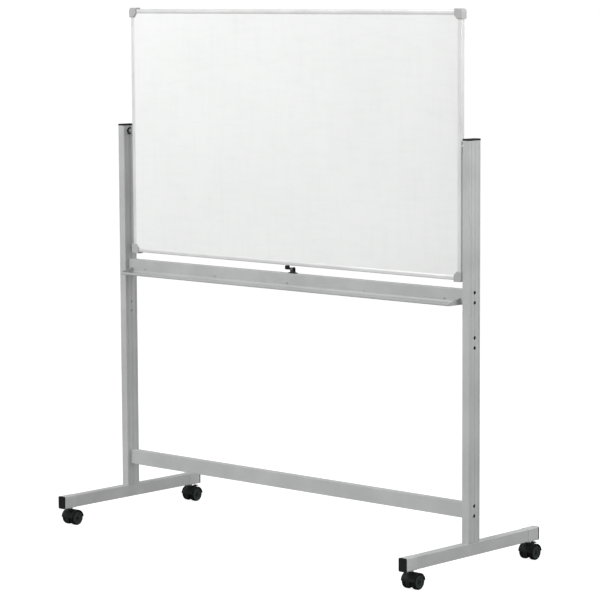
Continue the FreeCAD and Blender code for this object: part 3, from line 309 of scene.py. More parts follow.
@dataclass(frozen=True)
class Finish:
    """What each finish has: colour, gloss, drift of tone, dust, worn edges and a relief.

    Attributes:
        name: Name of the material.
        colour: Linear base colour.
        roughness: Mean roughness.
        metallic: How metallic it is.
        specular: Specular level.
        drift: Share by which the tone drifts.
        drift_scale: Clouds of tone per metre.
        dust: Most dust on an upward face.
        dust_colour: Colour of that dust.
        wear: Most wear along an edge.
        wear_colour: Colour under the worn finish.
        rubs: Strength of the rub marks.
        depth: Depth of the relief, in metres.
        grain_scale: Grains per metre.
    """

    name: str
    colour: Colour
    roughness: float
    metallic: float = 0.0
    specular: float = 0.5
    drift: float = 0.05
    drift_scale: float = 7.0
    dust: float = 0.1
    dust_colour: Colour = (0.55, 0.54, 0.52)
    wear: float = 0.0
    wear_colour: Colour = (0.62, 0.62, 0.61)
    rubs: float = 0.0
    depth: float = 0.00003
    grain_scale: float = 1300.0

    def relief(self, graph: Graph, coords: bpy.types.NodeSocket) -> bpy.types.NodeSocket:
        """Height of the surface's relief; a fine grain unless a finish has its own."""
        return EFFECTS.use(graph, EFFECTS.fine_grain, Vector=coords, Scale=self.grain_scale, Pits=0.5)

    def tint(self, graph: Graph, coords: bpy.types.NodeSocket,
             base: bpy.types.NodeSocket) -> bpy.types.NodeSocket:
        """Colour with what only this finish adds to it; here nothing."""
        return base

    def gloss(self, shader: bpy.types.Node) -> None:
        """Sets what only this finish has on the shader's own sockets; here nothing."""

    def material(self) -> bpy.types.Material:
        """Builds the finish.

        Returns:
            The material, with its nodes.
        """
        made = bpy.data.materials.new(self.name)
        made.use_nodes = True
        made.node_tree.nodes.clear()
        graph = Graph(made.node_tree)
        coords = graph.add("ShaderNodeTexCoord").outputs["Object"]
        shader = graph.add("ShaderNodeBsdfPrincipled")
        shader.inputs["Metallic"].default_value = self.metallic
        shader.inputs["Specular IOR Level"].default_value = self.specular
        self.gloss(shader)

        tone = EFFECTS.use(graph, EFFECTS.tone_drift, Vector=coords, Scale=self.drift_scale)
        colour = graph.blend(tone, opaque(self.colour, 1 - self.drift), opaque(self.colour, 1 + self.drift))
        colour = self.tint(graph, coords, colour)
        rough = graph.remap(tone, 0.0, 1.0, self.roughness * 0.88, self.roughness * 1.12)
        if self.rubs:
            marks = EFFECTS.use(graph, EFFECTS.rub_marks, Vector=coords, Scale=38.0, Amount=self.rubs)
            colour = graph.blend(marks, colour, opaque(self.colour, 1.6))
            rough = graph.maths("ADD", rough, graph.maths("MULTIPLY", marks, 0.25), clamp=True)
        if self.wear:
            worn = EFFECTS.use(graph, EFFECTS.edge_wear, Vector=coords, Radius=0.0009, Amount=self.wear)
            colour = graph.blend(worn, colour, opaque(self.wear_colour))
        if self.dust:
            dust = EFFECTS.use(graph, EFFECTS.settled_dust, Vector=coords, Amount=self.dust)
            colour = graph.blend(dust, colour, opaque(self.dust_colour))
            rough = graph.maths("ADD", rough, graph.maths("MULTIPLY", dust, 0.4), clamp=True)
        bump = graph.add("ShaderNodeBump", {"Height": self.relief(graph, coords), "Distance": self.depth,
                                            "Strength": 1.0})
        graph.feed(shader.inputs["Base Color"], colour)
        graph.feed(shader.inputs["Roughness"], rough)
        graph.feed(shader.inputs["Normal"], bump.outputs["Normal"])
        graph.add("ShaderNodeOutputMaterial", {"Surface": shader.outputs["BSDF"]})
        return made


@dataclass(frozen=True)
class Enamel(Finish):
    """Glossy vitreous enamel of a writing face, with the haze that an eraser leaves.

    Attributes:
        haze: Share by which the eraser's haze darkens the white.
    """

    haze: float = 0.05

    def relief(self, graph: Graph, coords: bpy.types.NodeSocket) -> bpy.types.NodeSocket:
        """Height of the enamel's faint waviness."""
        return graph.noise(coords, self.grain_scale, 2.0)

    def tint(self, graph: Graph, coords: bpy.types.NodeSocket,
             base: bpy.types.NodeSocket) -> bpy.types.NodeSocket:
        """Colour with long sweeps of haze across it.

        Args:
            graph: Graph of the material.
            coords: Object coordinates.
            base: Colour so far.

        Returns:
            The colour with the haze.
        """
        swept = graph.stretched(coords, Vector((1.0, 1.0, 5.0)), (0.0, 0.35, 0.0))
        streak = graph.remap(graph.noise(swept, 9.0, 6.0, 0.62), 0.46, 0.72, 0.0, self.haze)
        ghost = graph.stretched(coords, Vector((7.0, 1.0, 1.0)), (0.0, -0.2, 0.0))
        wipe = graph.remap(graph.noise(ghost, 5.0, 5.0, 0.6), 0.5, 0.75, 0.0, self.haze)
        return graph.blend(graph.maths("ADD", streak, wipe), base, (0.42, 0.45, 0.47, 1.0))

    def gloss(self, shader: bpy.types.Node) -> None:
        """Sets the clear glaze over the white."""
        shader.inputs["Coat Weight"].default_value = 0.35
        shader.inputs["Coat Roughness"].default_value = 0.12


@dataclass(frozen=True)
class DrawnMetal(Finish):
    """Metal drawn through a die, such as anodised aluminium or plated steel.

    Attributes:
        along: Axis that the member was drawn along.
        density: Lines per metre across it.
    """

    along: Axis = Axis.X
    density: float = 900.0

    def relief(self, graph: Graph, coords: bpy.types.NodeSocket) -> bpy.types.NodeSocket:
        """Height of the drawn lines."""
        laid = graph.stretched(coords, self.along.scale(0.006, 1.0))
        return EFFECTS.use(graph, EFFECTS.drawn_lines, Vector=laid, Density=self.density)

    def tint(self, graph: Graph, coords: bpy.types.NodeSocket,
             base: bpy.types.NodeSocket) -> bpy.types.NodeSocket:
        """Colour with the lines' faint tone.

        Args:
            graph: Graph of the material.
            coords: Object coordinates.
            base: Colour so far.

        Returns:
            The colour with the lines.
        """
        laid = graph.stretched(coords, self.along.scale(0.01, 1.0))
        lines = EFFECTS.use(graph, EFFECTS.drawn_lines, Vector=laid, Density=0.7 * self.density)
        return graph.blend(graph.remap(lines, 0.35, 0.65, 0.0, 0.22), base, opaque(self.colour, 0.72))


@dataclass(frozen=True)
class PowderCoat(Finish):
    """Silver powder coat on drawn tube: fine pits, real flakes whose glint is painted into the colour, and
    lines of the tube below.

    Attributes:
        along: Axis of the tube.
        flake_glint: Strength of the flakes' painted glint, drawn as brighter specks in the colour.
    """

    along: Axis = Axis.Z
    flake_glint: float = 0.3

    def relief(self, graph: Graph, coords: bpy.types.NodeSocket) -> bpy.types.NodeSocket:
        """Height of the coat's pits over the tube's lines."""
        pits = EFFECTS.use(graph, EFFECTS.fine_grain, Vector=coords, Scale=self.grain_scale, Pits=0.35)
        laid = graph.stretched(coords, self.along.scale(0.008, 1.0))
        lines = EFFECTS.use(graph, EFFECTS.drawn_lines, Vector=laid, Density=420.0)
        return graph.maths("ADD", pits, graph.maths("MULTIPLY", lines, 0.6))

    def tint(self, graph: Graph, coords: bpy.types.NodeSocket,
             base: bpy.types.NodeSocket) -> bpy.types.NodeSocket:
        """Colour with a painted glint on the coat's flakes, drawn as brighter specks.
            coords: Object coordinates.
            base: Colour so far.

        Returns:
            The colour with the flakes.
        """
        # Painted glint: random specks brightened to 1.45 times the coat's colour stand in for light glinting
        # off the real flakes.
        speck = graph.remap(graph.noise(coords, 2600.0, 1.0), 0.6, 0.74, 0.0, self.flake_glint)
        return graph.blend(speck, base, opaque(self.colour, 1.45))


@dataclass(frozen=True)
class Moulded(Finish):
    """Injection-moulded plastic with a fine spark-eroded grain."""

    def relief(self, graph: Graph, coords: bpy.types.NodeSocket) -> bpy.types.NodeSocket:
        """Height of the mould's grain."""
        return EFFECTS.use(graph, EFFECTS.fine_grain, Vector=coords, Scale=self.grain_scale, Pits=0.9)


@dataclass(frozen=True)
class Palette:
    """The finishes of the whiteboard, built once as materials."""

    made: dict[str, bpy.types.Material] = field(default_factory=dict)

    def get(self, finish: Finish) -> bpy.types.Material:
        """The finish's material, built at its first use."""
        if finish.name not in self.made:
            self.made[finish.name] = finish.material()
        return self.made[finish.name]


PALETTE = Palette()

ENAMEL = Enamel("writing_enamel", (0.86, 0.87, 0.86), 0.2, drift=0.012, drift_scale=2.2, dust=0.0,
                grain_scale=240.0, depth=0.00002)
CORE_BOARD = Moulded("core_board", (0.36, 0.25, 0.15), 0.85, dust=0.0, depth=0.0001, grain_scale=500.0)
ALUMINIUM = {axis: DrawnMetal("aluminium_" + axis.name, (0.80, 0.805, 0.80), 0.36, metallic=0.4, dust=0.04,
                              drift=0.03, along=axis) for axis in (Axis.X, Axis.Z)}
TRAY_METAL = DrawnMetal("tray_aluminium", (0.46, 0.47, 0.467), 0.45, metallic=0.15, dust=0.06, rubs=0.2,
                        along=Axis.X)
SILVER = {axis: PowderCoat("silver_coat_" + axis.name, (0.47, 0.48, 0.475), 0.46, metallic=0.12, dust=0.08,
                           wear=0.25, rubs=0.25, along=axis) for axis in Axis}
SLEEVE_SILVER = PowderCoat("sleeve_silver", (0.50, 0.51, 0.505), 0.44, metallic=0.12, dust=0.08, wear=0.3,
                           along=Axis.Y)
CAP_GREY = Moulded("corner_cap_grey", (0.42, 0.425, 0.42), 0.42, dust=0.08, wear=0.1, depth=0.00004)
BLACK_PLASTIC = Moulded("black_plastic_grain", (0.004, 0.0065, 0.0062), 0.5, specular=0.18, dust=0.03,
                        wear=0.12, wear_colour=(0.06, 0.065, 0.065), depth=0.00005, grain_scale=1600.0)
DISC_GREY = Moulded("wheel_disc_grey", (0.022, 0.03, 0.029), 0.48, specular=0.3, dust=0.04,
                    depth=0.00004)
TREAD = Moulded("wheel_tread", (0.0035, 0.005, 0.0048), 0.72, specular=0.12, dust=0.03, rubs=0.3,
                depth=0.00008, grain_scale=900.0)
DARK_STEEL = Moulded("dark_steel", (0.05, 0.05, 0.052), 0.38, metallic=0.6, dust=0.05, wear=0.4,
                     wear_colour=(0.35, 0.35, 0.36))
ZINC = DrawnMetal("zinc_steel", (0.56, 0.56, 0.57), 0.34, metallic=0.9, dust=0.04, along=Axis.Z,
                  density=1500.0)
DARK_BOLT = DrawnMetal("dark_bolt_steel", (0.12, 0.12, 0.125), 0.4, metallic=0.8, dust=0.04,
                       along=Axis.X, density=1500.0)


def dress(finish: Finish, *nodes: str) -> None:
    """Gives carried-over nodes a finish in all their material slots.

    Args:
        finish: The finish.
        nodes: Names of the nodes.
    """
    for name in nodes:
        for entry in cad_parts[name].material_slots:
            entry.material = PALETTE.get(finish)
        LOG.info("dressed %s in %s", name, finish.name)


# ---------------------------------------------------------------- meshes


def held(mesh: bpy.types.Mesh, name: str) -> bpy.types.Object:
    """A temporary object in the scene that holds the mesh."""
    holder = bpy.data.objects.new(name, mesh)
    bpy.context.scene.collection.objects.link(holder)
    return holder


def baked(holder: bpy.types.Object) -> bpy.types.Mesh:
    """The holder's evaluated mesh as a plain one; the holder is removed."""
    bpy.context.view_layer.update()
    depsgraph = bpy.context.evaluated_depsgraph_get()
    result = bpy.data.meshes.new_from_object(holder.evaluated_get(depsgraph), depsgraph=depsgraph)
    bpy.data.objects.remove(holder)
    return result


def from_bmesh(work: bmesh.types.BMesh) -> bpy.types.Mesh:
    """A mesh made of the bmesh, with its normals outwards; the bmesh is freed."""
    bmesh.ops.recalc_face_normals(work, faces=work.faces)
    mesh = bpy.data.meshes.new("solid")
    work.to_mesh(mesh)
    work.free()
    return mesh


def block(low: Sequence[float], high: Sequence[float], rounding: float, segments: int = 3) -> bpy.types.Mesh:
    """A block with rounded edges.

    Args:
        low: Lowest corner.
        high: Highest corner.
        rounding: Radius of the edges.
        segments: Steps in the rounding.

    Returns:
        The closed mesh.
    """
    work = bmesh.new()
    size = Vector(high) - Vector(low)
    middle = (Vector(high) + Vector(low)) / 2
    bmesh.ops.create_cube(work, size=1.0, matrix=Matrix.Translation(middle) @ Matrix.Diagonal(size.to_4d()))
    bmesh.ops.bevel(work, geom=work.edges[:], offset=rounding, segments=segments, profile=0.5,
                    affect="EDGES", clamp_overlap=True)
    return from_bmesh(work)


def prism(outline: Sequence[tuple[float, float]], axis: Axis, low: float, high: float,
          rounding: float) -> bpy.types.Mesh:
    """An outline drawn out along X or Y, with rounded end edges.

    Args:
        outline: Points in (Y, Z) for X, or (X, Z) for Y.
        axis: Axis along which it is drawn out.
        low: Start along that axis.
        high: End along that axis.
        rounding: Radius of the two end outlines' edges.

    Returns:
        The closed mesh.
    """
    work = bmesh.new()

    def at(point: tuple[float, float], depth: float) -> Vector:
        """The outline's point at a depth along the axis."""
        return Vector((depth, *point)) if axis is Axis.X else Vector((point[0], depth, point[1]))

    face = work.faces.new([work.verts.new(at(point, low)) for point in outline])
    drawn = bmesh.ops.extrude_face_region(work, geom=[face])
    shift = axis.vector() * (high - low)
    bmesh.ops.translate(work, vec=shift, verts=[item for item in drawn["geom"]
                                               if isinstance(item, bmesh.types.BMVert)])
    rims = [edge for edge in work.edges
            if abs((edge.verts[0].co - edge.verts[1].co)[axis.value]) < WELD]
    if rounding:
        bmesh.ops.bevel(work, geom=rims, offset=rounding, segments=3, profile=0.5, affect="EDGES",
                        clamp_overlap=True)
    return from_bmesh(work)


def turned(profile: Sequence[tuple[float, float]], axis: Axis, centre: Vector, sign: float = 1.0,
           steps: int = 48, arc: tuple[float, float] = (0.0, 2 * math.pi)) -> bpy.types.Mesh:
    """A profile of (along, radius) points turned about an axis.

    Args:
        profile: Points along the axis and out from it.
        axis: Axis of turning.
        centre: Where along = 0 lies.
        sign: Direction of the profile's along.
        steps: Faces round the axis.
        arc: First and last angle; a full turn closes on itself.

    Returns:
        The closed mesh.
    """
    work = bmesh.new()
    full = arc[1] - arc[0] > 2 * math.pi - WELD
    out = Axis.Y.vector() if axis is Axis.X else Axis.X.vector()
    over = Axis.Z.vector() if axis is not Axis.Z else Axis.Y.vector()
    rings = []
    for step in range(steps if full else steps + 1):
        angle = arc[0] + (arc[1] - arc[0]) * step / steps
        ray = out * math.cos(angle) + over * math.sin(angle)
        rings.append([work.verts.new(centre + axis.vector(sign) * along + ray * radius)
                      for along, radius in profile])
    count = len(profile)
    closed_profile = profile[0][1] > WELD or profile[-1][1] > WELD
    pairs = list(zip(rings, rings[1:] + rings[:1])) if full else list(zip(rings, rings[1:]))
    for first, second in pairs:
        for index in range(count if closed_profile else count - 1):
            following = (index + 1) % count
            work.faces.new([first[index], first[following], second[following], second[index]])
    if not full:
        work.faces.new(rings[0])
        work.faces.new(rings[-1][::-1])
    bmesh.ops.remove_doubles(work, verts=work.verts, dist=WELD)
    return from_bmesh(work)


def combined(base: bpy.types.Mesh, operation: str, *tools: bpy.types.Mesh) -> bpy.types.Mesh:
    """Unites solids with a base, or takes them from it.

    Args:
        base: Mesh that is worked on.
        operation: "UNION" or "DIFFERENCE".
        tools: The other solids.

    Returns:
        The new mesh.
    """
    for tool in tools:
        holder, cutter = held(base, "base"), held(tool, "tool")
        modifier = holder.modifiers.new("solid", "BOOLEAN")
        modifier.operation, modifier.object, modifier.solver = operation, cutter, "EXACT"
        base = baked(holder)
        bpy.data.objects.remove(cutter)
    return base


def merged(meshes: Iterable[bpy.types.Mesh]) -> bpy.types.Mesh:
    """Several meshes as one, with the materials of each kept.

    Args:
        meshes: The meshes.

    Returns:
        The merged mesh.
    """
    work = bmesh.new()
    materials: list[bpy.types.Material] = []
    for mesh in meshes:
        start = len(work.faces)
        work.from_mesh(mesh)
        work.faces.ensure_lookup_table()
        own = [entry for entry in mesh.materials if entry is not None]
        for entry in own:
            if entry not in materials:
                materials.append(entry)
        for index in range(start, len(work.faces)):
            if own:
                slot_index = min(work.faces[index].material_index, len(own) - 1)
                work.faces[index].material_index = materials.index(own[slot_index])
    result = bpy.data.meshes.new("merged")
    work.to_mesh(result)
    work.free()
    for entry in materials:
        result.materials.append(entry)
    return result


def finished(name: str, mesh: bpy.types.Mesh, body: str, replaces: Sequence[str] = (),
             finish: Finish | None = None, weld: bool = True) -> bpy.types.Object:
    """Makes a piece of a mesh and hands it to the frame.

    Args:
        name: Name of the piece.
        mesh: Its mesh, in place.
        body: Body that it rides on.
        replaces: Nodes that it stands for.
        finish: Its finish, unless the mesh has its materials.
        weld: Whether doubled points are merged.

    Returns:
        The piece.
    """
    if finish is not None:
        mesh.materials.clear()
        mesh.materials.append(PALETTE.get(finish))
    work = bmesh.new()
    work.from_mesh(mesh)
    if finish is not None:
        for face in work.faces:
            face.material_index = 0
    if weld:
        bmesh.ops.remove_doubles(work, verts=work.verts, dist=WELD)
        bmesh.ops.dissolve_degenerate(work, edges=work.edges, dist=WELD)
    for face in work.faces:
        face.smooth = True
    work.to_mesh(mesh)
    work.free()
    mesh.set_sharp_from_angle(angle=SMOOTH_ANGLE)
    mesh.name = name
    piece = held(mesh, name)
    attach(piece, body)
    if replaces:
        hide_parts(*replaces)
    LOG.info("built %s on %s with %d faces", name, body, len(mesh.polygons))
    return piece


# ---------------------------------------------------------------- rules for what repeats


class Rule:
    """Geometry trees for what repeats or follows a line, each built once."""

    def __init__(self) -> None:
        """Starts with no tree built."""
        self.built: dict[str, bpy.types.NodeTree] = {}

    def run(self, build: Callable[[], bpy.types.NodeTree], seed_points: Sequence[Vector],
            edges: Sequence[tuple[int, int]] = (), **values: object) -> bpy.types.Mesh:
        """Runs a tree on points and returns what it makes as a plain mesh.

        Args:
            build: Method of this class that makes the tree.
            seed_points: Points that the tree starts from.
            edges: Edges between those points.
            values: Values for the tree's inputs, underscores for spaces.

        Returns:
            The mesh, with its material.
        """
        if build.__name__ not in self.built:
            self.built[build.__name__] = build()
        tree = self.built[build.__name__]
        seed = bpy.data.meshes.new("seed")
        seed.from_pydata([tuple(point) for point in seed_points], list(edges), [])
        holder = held(seed, "seed")
        modifier = holder.modifiers.new("rule", "NODES")
        modifier.node_group = tree
        for item in tree.interface.items_tree:
            key = item.name.replace(" ", "_")
            if item.item_type == "SOCKET" and item.in_out == "INPUT" and key in values:
                modifier[item.identifier] = values[key]
        return baked(holder)

    def recessed_screws(self) -> bpy.types.NodeTree:
        """Domed heads with a six-sided recess and a shank, one at each point."""
        graph, entry, leave = open_group(
            "Recessed screws", "GeometryNodeTree",
            [("Geometry", "Geometry"), ("Direction", "Vector"), ("Head Radius", "Float"),
             ("Head Height", "Float"), ("Recess Radius", "Float"), ("Shank Radius", "Float"),
             ("Shank Length", "Float"), ("Material", "Material")], [("Geometry", "Geometry")])
        size = entry.outputs
        head = graph.add("GeometryNodeMeshCylinder", {"Vertices": 32, "Side Segments": 5,
                                                      "Radius": size["Head Radius"],
                                                      "Depth": size["Head Height"]})
        half = graph.maths("MULTIPLY", size["Head Height"], 0.5)
        raised = graph.add("GeometryNodeTransform", {
            "Geometry": head.outputs["Mesh"],
            "Translation": graph.add("ShaderNodeCombineXYZ", {"Z": half}).outputs[0]})
        place = graph.add("GeometryNodeInputPosition").outputs[0]
        height = graph.add("ShaderNodeSeparateXYZ", {0: place}).outputs["Z"]
        share = graph.maths("DIVIDE", height, size["Head Height"])
        crown = graph.remap(share, 0.35, 1.0)
        pulled = graph.maths("SUBTRACT", 1.0, graph.maths("MULTIPLY", graph.maths("POWER", crown, 2.2), 0.24))
        shape = graph.add("ShaderNodeCombineXYZ", {"X": pulled, "Y": pulled, "Z": 1.0}).outputs[0]
        domed = graph.add("ShaderNodeVectorMath", {0: place, 1: shape}, operation="MULTIPLY").outputs[0]
        rounded = graph.add("GeometryNodeSetPosition", {"Geometry": raised.outputs[0], "Position": domed})
        recess = graph.add("GeometryNodeMeshCylinder", {"Vertices": 6, "Radius": size["Recess Radius"],
                                                        "Depth": size["Head Height"]})
        sunk = graph.add("GeometryNodeTransform", {
            "Geometry": recess.outputs["Mesh"],
            "Translation": graph.add("ShaderNodeCombineXYZ", {"Z": size["Head Height"]}).outputs[0]})
        hollow = graph.add("GeometryNodeMeshBoolean", {"Mesh 1": rounded.outputs[0],
                                                       "Mesh 2": sunk.outputs[0]}, operation="DIFFERENCE")
        shank = graph.add("GeometryNodeMeshCylinder", {"Vertices": 20, "Radius": size["Shank Radius"],
                                                       "Depth": size["Shank Length"]})
        below = graph.maths("MULTIPLY", size["Shank Length"], -0.5)
        lowered = graph.add("GeometryNodeTransform", {
            "Geometry": shank.outputs["Mesh"],
            "Translation": graph.add("ShaderNodeCombineXYZ", {"Z": below}).outputs[0]})
        whole = graph.add("GeometryNodeJoinGeometry")
        for part in (hollow.outputs["Mesh"], lowered.outputs[0]):
            graph.tree.links.new(part, whole.inputs[0])
        turn = graph.add("FunctionNodeAlignRotationToVector", {"Vector": size["Direction"]}, axis="Z")
        points = graph.add("GeometryNodeMeshToPoints", {"Mesh": size["Geometry"]})
        laid = graph.add("GeometryNodeInstanceOnPoints", {"Points": points.outputs[0],
                                                          "Instance": whole.outputs[0],
                                                          "Rotation": turn.outputs[0]})
        self.close(graph, leave, laid.outputs[0], size["Material"])
        return graph.tree

    def radial_ribs(self) -> bpy.types.NodeTree:
        """Ribs that run out from a hub, evenly round the Z axis."""
        graph, entry, leave = open_group(
            "Radial ribs", "GeometryNodeTree",
            [("Geometry", "Geometry"), ("Count", "Int"), ("Inner Radius", "Float"), ("Outer Radius", "Float"),
             ("Rib Width", "Float"), ("Rib Height", "Float"), ("Material", "Material")],
            [("Geometry", "Geometry")])
        size = entry.outputs
        middle = graph.maths("MULTIPLY", graph.maths("ADD", size["Inner Radius"], size["Outer Radius"]), 0.5)
        ring = graph.add("GeometryNodeMeshCircle", {"Vertices": size["Count"], "Radius": middle})
        points = graph.add("GeometryNodeMeshToPoints", {"Mesh": ring.outputs[0]})
        outward = graph.add("GeometryNodeInputPosition").outputs[0]
        turn = graph.add("FunctionNodeAlignRotationToVector", {"Vector": outward}, axis="X", pivot_axis="Z")
        reach = graph.maths("SUBTRACT", size["Outer Radius"], size["Inner Radius"])
        rib_size = graph.add("ShaderNodeCombineXYZ", {"X": reach, "Y": size["Rib Width"],
                                                      "Z": size["Rib Height"]}).outputs[0]
        rib = graph.add("GeometryNodeMeshCube", {"Size": rib_size, "Vertices Y": 4})
        laid = graph.add("GeometryNodeInstanceOnPoints", {"Points": points.outputs[0],
                                                          "Instance": rib.outputs["Mesh"],
                                                          "Rotation": turn.outputs[0]})
        self.close(graph, leave, laid.outputs[0], size["Material"])
        return graph.tree

    def grip_ribs(self) -> bpy.types.NodeTree:
        """A row of round ribs across a pedal, along Y, each lying along X."""
        graph, entry, leave = open_group(
            "Grip ribs", "GeometryNodeTree",
            [("Geometry", "Geometry"), ("Count", "Int"), ("Pitch", "Float"), ("Rib Radius", "Float"),
             ("Rib Length", "Float"), ("Material", "Material")], [("Geometry", "Geometry")])
        size = entry.outputs
        step = graph.add("ShaderNodeCombineXYZ", {"Y": size["Pitch"]}).outputs[0]
        row = graph.add("GeometryNodeMeshLine", {"Count": size["Count"], "Offset": step})
        points = graph.add("GeometryNodeMeshToPoints", {"Mesh": row.outputs[0]})
        rib = graph.add("GeometryNodeMeshCylinder", {"Vertices": 14, "Radius": size["Rib Radius"],
                                                     "Depth": size["Rib Length"]})
        lying = graph.add("GeometryNodeTransform", {"Geometry": rib.outputs["Mesh"],
                                                    "Rotation": (0.0, math.pi / 2, 0.0)})
        laid = graph.add("GeometryNodeInstanceOnPoints", {"Points": points.outputs[0],
                                                          "Instance": lying.outputs[0]})
        self.close(graph, leave, laid.outputs[0], size["Material"])
        return graph.tree

    def swept_section(self) -> bpy.types.NodeTree:
        """A closed section drawn out along X, its sharp corners rounded first."""
        graph, entry, leave = open_group(
            "Swept section", "GeometryNodeTree",
            [("Geometry", "Geometry"), ("Length", "Float"), ("Corner Radius", "Float"),
             ("Material", "Material")], [("Geometry", "Geometry")])
        size = entry.outputs
        outline = graph.add("GeometryNodeMeshToCurve", {"Mesh": size["Geometry"]})
        rounded = graph.add("GeometryNodeFilletCurve", {"Curve": outline.outputs[0],
                                                        "Radius": size["Corner Radius"],
                                                        "Limit Radius": True, "Count": 4}, mode="POLY")
        half = graph.maths("MULTIPLY", size["Length"], 0.5)
        start = graph.add("ShaderNodeCombineXYZ", {"X": graph.maths("MULTIPLY", half, -1.0)}).outputs[0]
        end = graph.add("ShaderNodeCombineXYZ", {"X": half}).outputs[0]
        line = graph.add("GeometryNodeCurvePrimitiveLine", {"Start": start, "End": end})
        drawn = graph.add("GeometryNodeCurveToMesh", {"Curve": line.outputs[0],
                                                      "Profile Curve": rounded.outputs[0], "Fill Caps": True})
        self.close(graph, leave, drawn.outputs[0], size["Material"])
        return graph.tree

    def sweep(self, outline: Sequence[tuple[float, float]], length: float, corner: float,
              finish: Finish) -> bpy.types.Mesh:
        """Draws a closed outline out along X, centred on X = 0.

        Args:
            outline: Points in (Y, Z), anticlockwise seen from +X.
            length: Length of the member.
            corner: Rounding of its sharp corners.
            finish: Its finish.

        Returns:
            The closed mesh.
        """
        count = len(outline)
        return self.run(self.swept_section, [Vector((-across, -up, 0.0)) for across, up in outline],
                        [(index, (index + 1) % count) for index in range(count)],
                        Length=length, Corner_Radius=corner, Material=PALETTE.get(finish))

    def close(self, graph: Graph, leave: bpy.types.Node, made: bpy.types.NodeSocket,
              material: bpy.types.NodeSocket) -> None:
        """Ends a tree in Realize Instances and Set Material.

        Args:
            graph: Graph of the tree.
            leave: Output node of the tree.
            made: What the tree made.
            material: Socket of its material.
        """
        real = graph.add("GeometryNodeRealizeInstances", {"Geometry": made})
        painted = graph.add("GeometryNodeSetMaterial", {"Geometry": real.outputs[0], "Material": material})
        graph.feed(leave.inputs["Geometry"], painted.outputs[0])


RULE = Rule()


@dataclass(frozen=True)
class ScrewKind:
    """One kind of recessed screw.

    Attributes:
        head_radius: Radius of the head.
        head_height: Height of the head.
        recess_radius: Radius of the six-sided recess, across its corners.
        shank_radius: Radius of the shank.
        shank_length: Length of the shank below the head.
        finish: Its finish.
    """

    head_radius: float
    head_height: float
    recess_radius: float
    shank_radius: float
    shank_length: float
    finish: Finish = ZINC

    def at(self, places: Sequence[Vector], direction: Vector) -> bpy.types.Mesh:
        """Screws whose heads stand on the places and point along the direction.

        Args:
            places: Undersides of the heads.
            direction: Way the heads point.

        Returns:
            The mesh of all the screws.
        """
        return RULE.run(RULE.recessed_screws, places, Direction=tuple(direction),
                        Head_Radius=self.head_radius, Head_Height=self.head_height,
                        Recess_Radius=self.recess_radius, Shank_Radius=self.shank_radius,
                        Shank_Length=self.shank_length, Material=PALETTE.get(self.finish))


# ---------------------------------------------------------------- sub-assemblies


